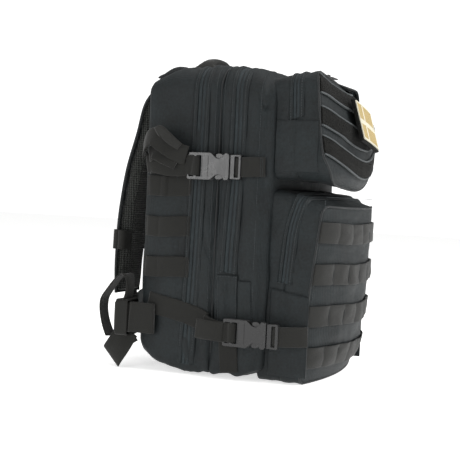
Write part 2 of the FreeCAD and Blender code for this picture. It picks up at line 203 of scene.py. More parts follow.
def resample(points, step):
    """Evenly spaced points along a polyline, with a smooth curve through them."""
    points = np.asarray(points, dtype=float)
    dense = catmull(points)
    lengths = np.r_[0, np.cumsum(np.linalg.norm(np.diff(dense, axis=0), axis=1))]
    count = max(int(round(lengths[-1] / step)), 2) + 1
    at = np.linspace(0, lengths[-1], count)
    return np.stack([np.interp(at, lengths, dense[:, k]) for k in range(3)], axis=1)


def catmull(points, per_span=14):
    """A smooth curve that passes through every point."""
    if len(points) < 3:
        return points
    ends = np.vstack([2 * points[0] - points[1], points, 2 * points[-1] - points[-2]])
    curve = []
    for i in range(1, len(ends) - 2):
        p0, p1, p2, p3 = ends[i - 1:i + 3]
        for t in np.linspace(0, 1, per_span, endpoint=False):
            curve.append(0.5 * ((2 * p1) + (p2 - p0) * t + (2 * p0 - 5 * p1 + 4 * p2 - p3) * t * t
                                + (3 * p1 - p0 - 3 * p2 + p3) * t ** 3))
    curve.append(ends[-2])
    return np.array(curve)


def web_section(width, thick, crown=0.0):
    """Cross-section of webbing: (across, up) points, round at its edges."""
    w, t = width / 2, thick
    top = [(-w + width * k / 12, t + crown * (1 - (k / 6 - 1) ** 2)) for k in range(13)]
    top[0], top[-1] = (-w + 0.35 * t, t * 0.98), (w - 0.35 * t, t * 0.98)
    edge_r = [(w, t * 0.72), (w, t * 0.28)]
    bottom = [(w - 0.35 * t, 0.0), (0.0, 0.0), (-w + 0.35 * t, 0.0)]
    edge_l = [(-w, t * 0.28), (-w, t * 0.72)]
    return top + edge_r + bottom + edge_l


def lay_web(builder, path, ups, width, thick, crown=0.0, slot=0, wave=0.0):
    """Webbing along path (mm); ups are the outward directions. Its back lies on the path."""
    path = np.asarray(path, dtype=float)
    ups = np.broadcast_to(np.asarray(ups, dtype=float), path.shape)
    tangents = unit(np.gradient(path, axis=0))
    ups = unit(ups - tangents * np.sum(ups * tangents, axis=1, keepdims=True))
    across = np.cross(tangents, ups)
    section = web_section(width, thick, crown)
    run = np.r_[0, np.cumsum(np.linalg.norm(np.diff(path, axis=0), axis=1))]
    grid = np.zeros((len(path), len(section), 3))
    uv = np.zeros((len(path), len(section), 2))
    for j, (a, u) in enumerate(section):
        ripple = wave * np.sin(run / 9.0 + a * 0.12)
        grid[:, j] = path + across * a + ups * (u + ripple)[:, None]
        uv[:, j, 0] = run * MM
        uv[:, j, 1] = a * MM
    builder.grid(grid, closed_u=True, uv=uv, slot=slot)
    builder.fan(grid[0], slot)
    builder.fan(grid[-1][::-1], slot)


# ---- materials ---------------------------------------------------------------------------
def to_linear(code):
    channels = [int(code[i:i + 2], 16) / 255 for i in (1, 3, 5)]
    return [c / 12.92 if c <= 0.04045 else ((c + 0.055) / 1.055) ** 2.4 for c in channels] + [1.0]


def add_node(tree, kind, settings=None, **inputs):
    """Adds a node; inputs are values or output sockets, by input name with _ for spaces."""
    made = tree.nodes.new(kind)
    for key, value in (settings or {}).items():
        setattr(made, key, value)
    for key, value in inputs.items():
        name = key.replace("_", " ")
        socket = made.inputs[int(name[1:])] if name[0] == "i" and name[1:].isdigit() else made.inputs[name]
        if isinstance(value, bpy.types.NodeSocket):
            tree.links.new(value, socket)
        else:
            socket.default_value = value
    return made


def start_material(name, roughness, specular=0.35, sheen=0.0):
    material = bpy.data.materials.new(name)
    material.use_nodes = True
    tree = material.node_tree
    shader = next(n for n in tree.nodes if n.type == "BSDF_PRINCIPLED")
    shader.inputs["Roughness"].default_value = roughness
    shader.inputs["Specular IOR Level"].default_value = specular
    shader.inputs["Sheen Weight"].default_value = sheen
    shader.inputs["Sheen Roughness"].default_value = 0.45
    return material, tree, shader


def blend_colours(tree, factor, low, high, at=(0.35, 0.65)):
    ramp_node = add_node(tree, "ShaderNodeValToRGB", None, Fac=factor)
    ramp_node.color_ramp.elements[0].position = at[0]
    ramp_node.color_ramp.elements[0].color = to_linear(low)
    ramp_node.color_ramp.elements[1].position = at[1]
    ramp_node.color_ramp.elements[1].color = to_linear(high)
    return ramp_node.outputs["Color"]


def lit_bump(tree, shader, height, strength, distance):
    bump = add_node(tree, "ShaderNodeBump", None, Height=height, Strength=strength, Distance=distance)
    tree.links.new(bump.outputs["Normal"], shader.inputs["Normal"])
    return bump


def woven(name, dark, light, thread, roughness, strength, specular=0.3, sheen=0.08):
    """Plain weave on object coordinates: threads both ways on every face of the pack."""
    material, tree, shader = start_material(name, roughness, specular, sheen)
    coords = add_node(tree, "ShaderNodeTexCoord").outputs["Object"]
    turns = 2 * math.pi / thread
    parts = add_node(tree, "ShaderNodeSeparateXYZ", None, Vector=coords)
    waves = []
    for axis in "XYZ":
        scaled = add_node(tree, "ShaderNodeMath", {"operation": "MULTIPLY"}, i0=parts.outputs[axis], i1=turns)
        waves.append(add_node(tree, "ShaderNodeMath", {"operation": "SINE"}, i0=scaled.outputs[0]).outputs[0])
    total = add_node(tree, "ShaderNodeMath", {"operation": "ADD"}, i0=waves[0], i1=waves[1])
    weave = add_node(tree, "ShaderNodeMath", {"operation": "ADD"}, i0=total.outputs[0], i1=waves[2])
    slub = add_node(tree, "ShaderNodeTexNoise", None, Vector=coords, Scale=340.0, Detail=3.0, Roughness=0.6)
    cloud = add_node(tree, "ShaderNodeTexNoise", None, Vector=coords, Scale=26.0, Detail=4.0, Roughness=0.65)
    mixed = add_node(tree, "ShaderNodeMath", {"operation": "MULTIPLY_ADD"},
                     i0=slub.outputs["Fac"], i1=0.55, i2=0.0)
    tone = add_node(tree, "ShaderNodeMath", {"operation": "MULTIPLY_ADD"},
                    i0=cloud.outputs["Fac"], i1=0.45, i2=mixed.outputs[0])
    tree.links.new(blend_colours(tree, tone.outputs[0], dark, light), shader.inputs["Base Color"])
    height = add_node(tree, "ShaderNodeMath", {"operation": "MULTIPLY_ADD"},
                      i0=weave.outputs[0], i1=0.16, i2=slub.outputs["Fac"])
    lit_bump(tree, shader, height.outputs[0], strength, 0.0006)
    return material


def ribbed(name, dark, light, rib, roughness):
    """Flat webbing: fine ribs across its run and a herringbone of threads."""
    material, tree, shader = start_material(name, roughness, 0.28, 0.15)
    flat = add_node(tree, "ShaderNodeUVMap", {"uv_map": "flat"}).outputs["UV"]
    parts = add_node(tree, "ShaderNodeSeparateXYZ", None, Vector=flat)
    along = add_node(tree, "ShaderNodeMath", {"operation": "MULTIPLY"}, i0=parts.outputs["X"], i1=2 * math.pi / rib)
    ribs = add_node(tree, "ShaderNodeMath", {"operation": "SINE"}, i0=along.outputs[0])
    across = add_node(tree, "ShaderNodeMath", {"operation": "MULTIPLY"}, i0=parts.outputs["Y"],
                      i1=2 * math.pi / (rib * 1.6))
    threads = add_node(tree, "ShaderNodeMath", {"operation": "SINE"}, i0=across.outputs[0])
    product = add_node(tree, "ShaderNodeMath", {"operation": "MULTIPLY"}, i0=ribs.outputs[0], i1=threads.outputs[0])
    fuzz = add_node(tree, "ShaderNodeTexNoise", None, Vector=flat, Scale=900.0, Detail=3.0, Roughness=0.7)
    tone = add_node(tree, "ShaderNodeMath", {"operation": "MULTIPLY_ADD"},
                    i0=product.outputs[0], i1=0.13, i2=fuzz.outputs["Fac"])
    tree.links.new(blend_colours(tree, tone.outputs[0], dark, light, (0.3, 0.72)), shader.inputs["Base Color"])
    height = add_node(tree, "ShaderNodeMath", {"operation": "MULTIPLY_ADD"},
                      i0=product.outputs[0], i1=0.5, i2=fuzz.outputs["Fac"])
    lit_bump(tree, shader, height.outputs[0], 0.5, 0.0004)
    return material


def open_mesh(name, dark, light, cell):
    """Knitted spacer mesh: rows of small dark holes with lighter yarn between."""
    material, tree, shader = start_material(name, 0.85, 0.2, 0.2)
    flat = add_node(tree, "ShaderNodeUVMap", {"uv_map": "flat"}).outputs["UV"]
    parts = add_node(tree, "ShaderNodeSeparateXYZ", None, Vector=flat)
    turn = 2 * math.pi / cell
    a = add_node(tree, "ShaderNodeMath", {"operation": "ADD"}, i0=parts.outputs["X"], i1=parts.outputs["Y"])
    b = add_node(tree, "ShaderNodeMath", {"operation": "SUBTRACT"}, i0=parts.outputs["X"], i1=parts.outputs["Y"])
    waves = []
    for value in (a, b):
        scaled = add_node(tree, "ShaderNodeMath", {"operation": "MULTIPLY"}, i0=value.outputs[0], i1=turn * 0.7071)
        waves.append(add_node(tree, "ShaderNodeMath", {"operation": "COSINE"}, i0=scaled.outputs[0]).outputs[0])
    holes = add_node(tree, "ShaderNodeMath", {"operation": "MULTIPLY"}, i0=waves[0], i1=waves[1])
    fuzz = add_node(tree, "ShaderNodeTexNoise", None, Vector=flat, Scale=700.0, Detail=2.0, Roughness=0.6)
    tone = add_node(tree, "ShaderNodeMath", {"operation": "MULTIPLY_ADD"},
                    i0=holes.outputs[0], i1=-0.55, i2=fuzz.outputs["Fac"])
    tree.links.new(blend_colours(tree, tone.outputs[0], dark, light, (0.15, 0.75)), shader.inputs["Base Color"])
    lit_bump(tree, shader, tone.outputs[0], 0.9, 0.0012)
    return material


def napped(name, dark, light):
    """Brushed loop pile: a soft tangle with no direction."""
    material, tree, shader = start_material(name, 0.95, 0.1, 0.05)
    coords = add_node(tree, "ShaderNodeTexCoord").outputs["Object"]
    tangle = add_node(tree, "ShaderNodeTexNoise", None, Vector=coords, Scale=620.0, Detail=5.0, Roughness=0.75,
                      Distortion=1.4)
    tufts = add_node(tree, "ShaderNodeTexVoronoi", None, Vector=coords, Scale=420.0)
    tone = add_node(tree, "ShaderNodeMath", {"operation": "MULTIPLY_ADD"},
                    i0=tufts.outputs["Distance"], i1=0.5, i2=tangle.outputs["Fac"])
    tree.links.new(blend_colours(tree, tone.outputs[0], dark, light, (0.45, 0.95)), shader.inputs["Base Color"])
    lit_bump(tree, shader, tone.outputs[0], 1.0, 0.0016)
    return material


def moulded(name, colour, roughness, grain, specular=0.5):
    """Injection-moulded plastic with a fine spark-eroded grain."""
    material, tree, shader = start_material(name, roughness, specular)
    coords = add_node(tree, "ShaderNodeTexCoord").outputs["Object"]
    pits = add_node(tree, "ShaderNodeTexNoise", None, Vector=coords, Scale=grain, Detail=2.0)
    broad = add_node(tree, "ShaderNodeTexNoise", None, Vector=coords, Scale=60.0, Detail=3.0)
    rough = add_node(tree, "ShaderNodeMapRange", None, Value=broad.outputs["Fac"], To_Min=roughness - 0.06,
                     To_Max=roughness + 0.08)
    tree.links.new(rough.outputs["Result"], shader.inputs["Roughness"])
    tree.links.new(blend_colours(tree, pits.outputs["Fac"], colour[0], colour[1]), shader.inputs["Base Color"])
    lit_bump(tree, shader, pits.outputs["Fac"], 0.12, 0.0003)
    return material


# Coated 600-denier polyester: near-black with a cool tint, broken highlights from its weave.
PACKCLOTH = woven("packcloth_600d", "#0F1213", "#1A2123", 0.0016, 0.6, 0.6, 0.27, 0.025)
# The same cloth in its lighter, rubbed finish on the zipper flaps.
FLAPCLOTH = woven("flap_cloth", "#191F21", "#283033", 0.0014, 0.62, 0.4, 0.26, 0.035)
# Narrow binding tape along seams.
BINDING = ribbed("binding_tape", "#191B1C", "#2A2D2E", 0.0012, 0.75)
# Nylon webbing, a little browner than the cloth.
WEBBING = ribbed("nylon_webbing", "#11110F", "#1F1F1C", 0.0017, 0.78)
# Spacer mesh on the back and straps.
MESH = open_mesh("spacer_mesh", "#0D0E0D", "#3B3D3A", 0.0042)
# Loop pile for hook-backed patches.
PILE = napped("loop_pile", "#060606", "#1C1C1A")
# Grosgrain edging on the pile strips, coloured paler as a painted highlight for light catching the folded edges.
EDGING_PAINTED_HIGHLIGHT = ribbed("strip_edging_painted_highlight", "#34383A", "#565B5C", 0.0012, 0.7)
# Acetal buckles, satin.
ACETAL = moulded("acetal_satin", ("#0F0F10", "#161617"), 0.27, 1500.0)
# Black-lacquered zinc sliders.
LACQUER = moulded("lacquered_zinc", ("#141415", "#1C1C1E"), 0.28, 900.0)
# Nylon zipper coil.
COIL = moulded("nylon_coil", ("#101112", "#1A1B1C"), 0.4, 1200.0, 0.4)
# Bonded polyester thread.
THREAD = moulded("sewing_thread", ("#34383A", "#454A4C"), 0.6, 2000.0, 0.3)
# Polyethylene board inside the back panel.
BOARD = moulded("polyethylene_board", ("#1A1A1A", "#222222"), 0.5, 500.0, 0.4)
# Embroidered patch: gold twill with a pale merrowed edge and plain bars.
PATCH_GOLD = ribbed("patch_gold_twill", "#8F7A45", "#C2AA6E", 0.0014, 0.8)
PATCH_PALE = ribbed("patch_pale_thread", "#B9B39C", "#E4DFCC", 0.0012, 0.8)


# ---- camera, light and floor -------------------------------------------------------------
def stage():
    import bmesh
    mesh = bpy.data.meshes.new("studio_floor")
    bm = bmesh.new()
    bmesh.ops.create_grid(bm, x_segments=2, y_segments=2, size=6.0)
    bm.to_mesh(mesh)
    bm.free()
    floor = bpy.data.objects.new("studio_floor", mesh)
    bpy.context.collection.objects.link(floor)
    material, tree, shader = start_material("pale_paper", 0.9, 0.1)
    coords = add_node(tree, "ShaderNodeTexCoord").outputs["Object"]
    grain = add_node(tree, "ShaderNodeTexNoise", None, Vector=coords, Scale=8.0)
    tree.links.new(blend_colours(tree, grain.outputs["Fac"], "#F4F4F3", "#F8F8F7"), shader.inputs["Base Color"])
    shader.inputs["Emission Color"].default_value = (1.0, 1.0, 1.0, 1.0)
    shader.inputs["Emission Strength"].default_value = 0.62
    mesh.materials.append(material)

    world = bpy.data.worlds.new("studio")
    bpy.context.scene.world = world
    world.use_nodes = True
    background = world.node_tree.nodes["Background"]
    background.inputs["Color"].default_value = (1.0, 1.0, 1.0, 1.0)
    ray = world.node_tree.nodes.new("ShaderNodeLightPath")
    strength = world.node_tree.nodes.new("ShaderNodeMapRange")
    strength.inputs["To Min"].default_value = 0.37
    strength.inputs["To Max"].default_value = 1.3
    world.node_tree.links.new(ray.outputs["Is Camera Ray"], strength.inputs["Value"])
    world.node_tree.links.new(strength.outputs["Result"], background.inputs["Strength"])
    bpy.context.scene.view_settings.view_transform = "Standard"

    def panel(name, place, aim, size, power):
        lamp = bpy.data.lights.new(name, "AREA")
        lamp.shape = "RECTANGLE"
        lamp.size, lamp.size_y = size
        lamp.energy = power
        made = bpy.data.objects.new(name, lamp)
        made.location = place
        made.rotation_euler = (Vector(aim) - Vector(place)).to_track_quat("-Z", "Y").to_euler()
        bpy.context.collection.objects.link(made)

    panel("glint", (-1.9, 0.84, 0.33), (-0.138, 0.02, 0.262), (0.7, 0.26), 5.5)
    panel("key_front", (0.3, -2.2, 1.7), (0, 0, 0.2), (1.4, 1.2), 52)
    panel("side_left", (-2.0, 0.5, 0.9), (0, 0, 0.25), (1.0, 0.8), 7)
    panel("top_soft", (-0.3, 0.0, 2.3), (0, 0, 0.2), (1.6, 1.6), 22)


def camera():
    azimuth, elevation, roll = math.radians(-66.38), math.radians(1.93), math.radians(2.6)
    distance, lens = 1.420, 82.9
    right = Vector((math.cos(azimuth), math.sin(azimuth), 0))
    back = Vector((math.sin(azimuth) * math.cos(elevation), -math.cos(azimuth) * math.cos(elevation),
                   math.sin(elevation)))
    target = Vector((0, 0, 0.1806)) + right * -0.0433
    view = bpy.data.cameras.new("view")
    view.lens = lens
    view.sensor_width = 36.0
    view.clip_start = 0.05
    made = bpy.data.objects.new("view", view)
    made.location = target + back * distance
    turn = (-back).to_track_quat("-Z", "Y")
    made.rotation_mode = "QUATERNION"
    from mathutils import Quaternion
    made.rotation_quaternion = turn @ Quaternion((0, 0, 1), roll)
    bpy.context.collection.objects.link(made)
    bpy.context.scene.camera = made


camera()
stage()

# ---- the shape of the filled pack ---------------------------------------------------------
DEPTHS = (-66, -50, -12, 13, 38, 60, 85, 98, 110)


def pack_top(y):
    return soft_ramp(y, DEPTHS, (366, 381, 386, 389, 388, 386, 382, 377, 367))


def pack_bottom(y):
    return soft_ramp(y, DEPTHS, (18, 11, 3, 9, 1, 6, 11, 15, 24))


def pack_half(y):
    return soft_ramp(y, DEPTHS, (118, 123, 124.5, 123.5, 124.5, 125, 125.5, 125.5, 122))


def top_radius(y):
    return soft_ramp(y, (-66, 60, 98, 116), (31, 30, 19, 13))


def base_radius(y):
    return soft_ramp(y, (-66, 60, 98, 116), (5, 5, 9, 18))


def side_swell(y, z):
    """How far a side panel stands out between its seams, filled and a little slack."""
    up = np.clip((z - 10) / 370, 0, 1)
    belly = np.sin(np.pi * up) ** 0.8
    rear = hill(y, 78, 26) * 4.0
    middle = hill(y, 26, 9) * 3.2 + hill(y, 1, 9) * 2.6
    front = hill(y, -31, 11) * 3.5
    pressed = 1 - 0.95 * hill(z, 261, 27) * smooth(-30, 0, y) - 0.5 * hill(z, 74, 20)
    return (rear + middle + front) * belly * pressed


def seam_pull(y):
    """Cloth is drawn in beside each seam and zipper."""
    return -(3.4 * hill(y, DIVIDER_Y, 3.0) + 2.2 * hill(y, -49, 3.0)
             + 1.4 * hill(y, MAIN_ZIP_Y, 9) + 1.4 * hill(y, SECOND_ZIP_Y, 9))


def outline(y, inset=0.0, samples=(74, 12, 44)):
    """Closed loop of (x, z) around the pack at depth y, from the left base corner upwards."""
    half, top, bottom = pack_half(y) - inset, pack_top(y) - inset, pack_bottom(y) + inset
    radius_top, radius_base = top_radius(y) - inset * 0.5, base_radius(y) - inset * 0.3
    sides, corners, caps = samples
    loop = []
    z_low, z_high = bottom + radius_base, top - radius_top
    for z in np.linspace(z_low, z_high, sides, endpoint=False):
        loop.append((-half, z))
    for a in np.linspace(0, math.pi / 2, corners, endpoint=False):
        loop.append((-half + radius_top * (1 - math.cos(a)), z_high + radius_top * math.sin(a)))
    for x in np.linspace(-half + radius_top, half - radius_top, caps, endpoint=False):
        loop.append((x, top))
    for a in np.linspace(0, math.pi / 2, corners, endpoint=False):
        loop.append((half - radius_top * (1 - math.sin(a)), top - radius_top * (1 - math.cos(a))))
    for z in np.linspace(z_high, z_low, sides, endpoint=False):
        loop.append((half, z))
    for a in np.linspace(0, math.pi / 2, corners, endpoint=False):
        loop.append((half - radius_base * (1 - math.cos(a)), z_low - radius_base * math.sin(a)))
    for x in np.linspace(half - radius_base, -half + radius_base, caps, endpoint=False):
        loop.append((x, bottom))
    for a in np.linspace(0, math.pi / 2, corners, endpoint=False):
        loop.append((-half + radius_base * (1 - math.sin(a)), bottom + radius_base * (1 - math.cos(a))))
    return np.array(loop)


def pack_skin(y, inset=0.0):
    """Outline at depth y as 3-D points (mm) with the swell of the cloth in it."""
    loop = outline(y, inset)
    points = np.stack([loop[:, 0], np.full(len(loop), float(y)), loop[:, 1]], axis=1)
    side = smooth(60, 105, np.abs(points[:, 0]))
    points[:, 0] += np.sign(points[:, 0]) * (side_swell(y, points[:, 2]) + seam_pull(y)) * side
    roof = smooth(330, 380, points[:, 2])
    hump = 3.0 * hill(y, 70, 20) + 2.4 * hill(y, 26, 8) + 2.4 * hill(y, 1, 8) + 2.5 * hill(y, -30, 11)
    crown = 1 - (points[:, 0] / 125) ** 2
    points[:, 2] += roof * (hump * (0.4 + 0.6 * crown) + seam_pull(y))
    return points


def side_x(y, z):
    """Where the left side panel's cloth is, as a negative X, away from the corners."""
    return -(pack_half(y) + side_swell(y, z) + seam_pull(y))


def creases(grid, normals, strength=1.0):
    """Slack cloth: long soft folds, mostly up and down, and finer ones that start at the seams."""
    y, z = grid[..., 1], grid[..., 2]
    stretched = grid * np.array([1.0, 1.0, 0.32])
    folds = cloth_noise(stretched, 17.0, 3.0) * 2.0 + cloth_noise(stretched, 8.0, 11.0) * 0.8
    ripples = cloth_noise(grid, 30.0, 7.0) * 1.1
    beside = hill(y, DIVIDER_Y, 10) + hill(y, -47, 12) + 0.7 * hill(y, MAIN_ZIP_Y, 16) + 0.7 * hill(y, SECOND_ZIP_Y, 14)
    low = 1 + 0.9 * smooth(120, 20, z)
    amount = strength * low * (0.45 + 0.75 * np.clip(beside, 0, 1))
    return grid + normals * ((folds + ripples) * amount)[..., None]


def pucker(grid, y0, z0, reach, depth, slant):
    """A V-shaped pinch in the cloth where a seam pulls."""
    y, z = grid[..., 1] - y0, grid[..., 2] - z0
    left = grid[..., 0] < 0
    arm = hill(np.abs(y) - slant * z, 0, 2.2) * smooth(0, 3, z) * smooth(reach, 0, z)
    return -depth * arm * left


def compartments():
    """The two compartments as one sewn shell, closed at the front and the back."""
    rear_turn = [(116.0, 13.0), (115.6, 8.0), (114.2, 4.0), (110.5, 1.2), (104.0, 0.1)]
    front_turn = [(-49.5, 0.0), (-53.0, 1.4), (-56.0, 4.0), (-58.0, 8.0), (-59.0, 14.0)]
    rings = [pack_skin(y, inset) for y, inset in rear_turn]
    rings += [pack_skin(y) for y in np.arange(96.5, -49.0, -2.0)]
    rings += [pack_skin(y, inset) for y, inset in front_turn]
    grid = np.array(rings)
    normals = surface_normals(grid, closed_u=True)
    outward = np.sign(np.sum(normals * (grid - np.array([0, 30, 195])), axis=-1, keepdims=True))
    normals = normals * np.where(outward == 0, 1, outward)
    grid = creases(grid, normals)
    grid += normals * (pucker(grid, -46, 330, 30, 5.0, 0.35) + pucker(grid, 20, 150, 40, 2.5, 0.3))[..., None]
    grid[..., 2] = np.maximum(grid[..., 2], 0.6)

    builder = Builder("compartment_shell")
    builder.grid(grid, closed_u=True)
    for ring, y_end, bulge in ((grid[0], 110.0, 0.0), (grid[-1], -60.0, -5.0)):
        caps = []
        centre = np.array([0.0, y_end, 195.0])
        for k in np.linspace(0, 1, 14)[:-1]:
            ring_k = ring * (1 - k) + centre * k
            ring_k[:, 1] += bulge * math.sin(k * math.pi / 2)
            caps.append(ring_k)
        builder.grid(np.array(caps), closed_u=True)
        builder.fan(caps[-1])
    return builder.make(PACKCLOTH)


# ---- front pockets ------------------------------------------------------------------------
def across(x, left, middle, right):
    """A smooth curve over the pocket's width through three values."""
    t = np.clip(x / POCKET_HALF, -1, 1)
    return left * t * (t - 1) / 2 + middle * (1 - t * t) + right * t * (t + 1) / 2


class Pocket:
    """A sewn pocket: a gusset with a zipper round it, and a crowned face."""

    def __init__(self, name, base, top, left, middle, right, zipper, corners, puff, seed, droop):
        self.name, self.base, self.top = name, base, top
        self.left, self.middle, self.right = left, middle, right
        self.zipper, self.corners, self.puff, self.seed, self.droop = zipper, corners, puff, seed, droop
        self.low, self.high = base, top[1][-1]

    def sag(self, points):
        """Let the filled pocket hang: its middle drops, most at the front of its base."""
        points = np.array(points, dtype=float)
        width = np.cos(np.pi / 2 * np.clip(points[..., 0] / POCKET_HALF, -1, 1)) ** 1.1
        ahead = smooth(-92, -124, points[..., 1])
        height = 1 - 0.85 * smooth(self.low + 60, self.high - 6, points[..., 2])
        points[..., 2] -= self.droop * width * ahead * height
        return points

    def foot_radius(self, y):
        return soft_ramp(y, (-122, -66), (self.corners[2], self.corners[1]))

    def top_at(self, y):
        return soft_ramp(y, *self.top)

    def zip_y(self, z):
        return soft_ramp(z, *self.zipper)

    def face_y(self, x, z, wrinkled=True):
        values = [soft_ramp(z, *curve) for curve in (self.left, self.middle, self.right)]
        y = across(x, *values)
        t = (z - self.low) / (self.high - self.low) * 2 - 1
        dome = (1 - np.clip(np.abs(x) / POCKET_HALF, 0, 1) ** 6) * (1 - np.clip(np.abs(t), 0, 1) ** 8)
        y = y - self.puff * dome
        if wrinkled:
            spots = np.stack([x * 0.5, np.zeros_like(x), z], axis=-1)
            y = y - dome * (cloth_noise(spots, 24.0, self.seed) * 2.6 + cloth_noise(spots, 9.0, self.seed + 5) * 0.8)
        return y

    def face_point(self, x, z, lift=0.0):
        x, z = np.asarray(x, dtype=float), np.asarray(z, dtype=float)
        y = self.face_y(x, z)
        dx = (self.face_y(x + 1.5, z, False) - self.face_y(x - 1.5, z, False)) / 3
        dz = (self.face_y(x, z + 1.5, False) - self.face_y(x, z - 1.5, False)) / 3
        normal = unit(np.stack([dx, -np.ones_like(x), dz], axis=-1))
        return self.sag(np.stack([x, y, z], axis=-1) + normal * np.asarray(lift)[..., None]), normal

    def ring(self, y, samples=(34, 9, 40)):
        """Closed loop of (x, z) round the gusset at depth y."""
        half, top, base = POCKET_HALF, float(self.top_at(y)), self.base
        r_top, r_base = self.corners[0], self.foot_radius(y)
        sides, turns, caps = samples
        loop = [(-half, z) for z in np.linspace(base + r_base, top - r_top, sides, endpoint=False)]
        quarter = np.linspace(0, math.pi / 2, turns, endpoint=False)
        loop += [(-half + r_top * (1 - math.cos(a)), top - r_top + r_top * math.sin(a)) for a in quarter]
        loop += [(x, top) for x in np.linspace(-half + r_top, half - r_top, caps, endpoint=False)]
        loop += [(half - r_top * (1 - math.sin(a)), top - r_top * (1 - math.cos(a))) for a in quarter]
        loop += [(half, z) for z in np.linspace(top - r_top, base + r_base, sides, endpoint=False)]
        loop += [(half - r_base * (1 - math.cos(a)), base + r_base * (1 - math.sin(a))) for a in quarter]
        loop += [(x, base) for x in np.linspace(half - r_base, -half + r_base, caps, endpoint=False)]
        loop += [(-half + r_base * (1 - math.sin(a)), base + r_base * (1 - math.cos(a))) for a in quarter]
        return np.array(loop)

    def station(self, share, front):
        """Gusset points; share runs 0 to 1 over the part behind the zipper, or in front of it."""
        y = np.full(len(self.ring(-80.0)), -80.0)
        for _ in range(2):
            loops = np.array([self.ring(v)[i] for i, v in enumerate(y)]) if np.ptp(y) > 1 else self.ring(float(y[0]))
            x, z = loops[:, 0], loops[:, 1]
            seam, zip_line = self.face_y(x, z, False), self.zip_y(z)
            y = zip_line + (seam - zip_line) * share if front else FRONT_Y + 4 + (zip_line - FRONT_Y - 4) * share
        points = np.stack([x, y, z], axis=1)
        depth = (y - FRONT_Y) / np.minimum(seam - FRONT_Y, -1)
        swell = 3.4 * np.sin(np.pi * np.clip(depth, 0, 1)) - 1.6 * hill(y - zip_line, 0, 6)
        up = np.clip((z - self.base) / (self.high - self.base), 0, 1)
        side = smooth(70, 104, np.abs(x)) * np.sin(np.pi * up) ** 0.5
        points[:, 0] += np.sign(x) * swell * side
        points[:, 2] += smooth(self.high - 40, self.high - 8, z) * swell * 0.9 * (1 - (x / 118) ** 2)
        return points

    def gusset(self, front, count):
        grid = np.array([self.station(k, front) for k in np.linspace(0, 1, count)])
        normals = surface_normals(grid, closed_u=True)
        middle = np.array([0, -85, (self.base + self.high) / 2])
        outward = np.sign(np.sum(normals * (grid - middle) * np.array([1, 0, 1]), axis=-1, keepdims=True))
        normals = normals * np.where(outward == 0, 1, outward)
        seam_fade = np.ones(count)
        seam_fade[0] = seam_fade[-1] = 0.0
        stretched = grid * np.array([1.0, 1.0, 0.4])
        folds = cloth_noise(stretched, 15.0, self.seed) * 1.5 + cloth_noise(grid, 8.0, self.seed + 9) * 0.5
        grid = grid + normals * (folds * seam_fade[:, None])[..., None]
        grid[..., 2] = np.maximum(grid[..., 2], 0.5)
        return grid

    def face(self, seam):
        rings = []
        centre = np.array([0.0, (self.low + self.high) / 2])
        for k in np.linspace(0, 1, 36)[1:-1]:
            x = seam[:, 0] * (1 - k) + centre[0] * k
            z = seam[:, 2] * (1 - k) + centre[1] * k
            rings.append(np.stack([x, self.face_y(x, z), z], axis=1))
        grid = np.array([seam] + rings)
        grid[1:, :, 2] = np.maximum(grid[1:, :, 2], 0.5)
        return grid

    def build(self, cover_body, blend_low, blend_high):
        back = Builder(self.name + "_rear_gusset")
        back_grid = self.sag(self.gusset(False, 14))
        back.grid(back_grid, closed_u=True)
        back.fan(back_grid[0])
        inner = back_grid[-1] * np.array([0.94, 1, 1]) + np.array([0, 0, 0])
        back.grid(np.array([back_grid[-1], inner]), closed_u=True)
        back.fan(inner[::-1])
        behind = back.make(PACKCLOTH)

        front = Builder(self.name + "_front")
        grid = self.gusset(True, 18)
        face = self.sag(self.face(grid[-1]))
        grid = self.sag(grid)
        front.grid(grid, closed_u=True)
        front.grid(face, closed_u=True)
        front.fan(face[-1])
        inner = grid[0] * np.array([0.94, 1, 1])
        front.grid(np.array([grid[0], inner]), closed_u=True)
        front.fan(inner[::-1])
        ahead = front.make(PACKCLOTH)
        return behind, ahead


LOWER = Pocket(
    "lower_pocket", 1.0, ((-150, -121, -90, -50), (216, 219, 231, 239)),
    ((0, 20, 109, 217), (-99, -103, -109, -121)),
    ((0, 12, 40, 110, 200, 222), (-108, -116, -125, -131, -135, -134)),
    ((0, 17, 33, 104, 198, 221), (-92, -97, -106, -113, -115, -115)),
    ((0, 60, 119, 195, 236), (-76, -77, -78, -84, -98)),
    (13.0, 14.0, 14.0), 3.0, 2.0, 0.0,
)
UPPER = Pocket(
    "upper_pocket", 249.0, ((-150, -107, -63, -50), (382, 382, 375, 374)),
    ((246, 259, 274, 298, 328, 382), (-119, -126, -120, -115, -112, -107)),
    ((246, 252, 265, 300, 325, 340, 357, 367, 383), (-117, -129, -133, -133, -131, -126, -115, -103, -88)),
    ((246, 264, 306, 334, 364, 379), (-104, -111, -113, -111, -86, -72)),
    ((244, 320, 383), (-86, -84, -81)),
    (14.0, 9.0, 36.0), 2.0, 31.0, 9.0,
)


# ---- zippers, seams and webbing on the compartments -------------------------------------------
SIDES, CORNERS, CAPS = 74, 12, 44
LEFT_BASE, RIGHT_BASE = 0, 2 * SIDES + 2 * CORNERS + CAPS
SKIN_Y = np.arange(-62.0, 112.0, 1.0)
SKIN = np.array([pack_skin(y) for y in SKIN_Y])
SKIN_ALONG = unit(np.roll(SKIN, -1, axis=1) - np.roll(SKIN, 1, axis=1))
SKIN_OUT = unit(np.stack([-SKIN_ALONG[..., 2], 0 * SKIN_ALONG[..., 0], SKIN_ALONG[..., 0]], axis=-1))


def skin_at(j, y):
    """Shell point and outward normal at place j round the outline, depth y."""
    k = float(np.clip(y - SKIN_Y[0], 0, len(SKIN_Y) - 1.001))
    i, part = int(k), k - int(k)
    point = SKIN[i, j] * (1 - part) + SKIN[i + 1, j] * part
    return point, SKIN_OUT[i, j] * (1 - part) + SKIN_OUT[i + 1, j] * part


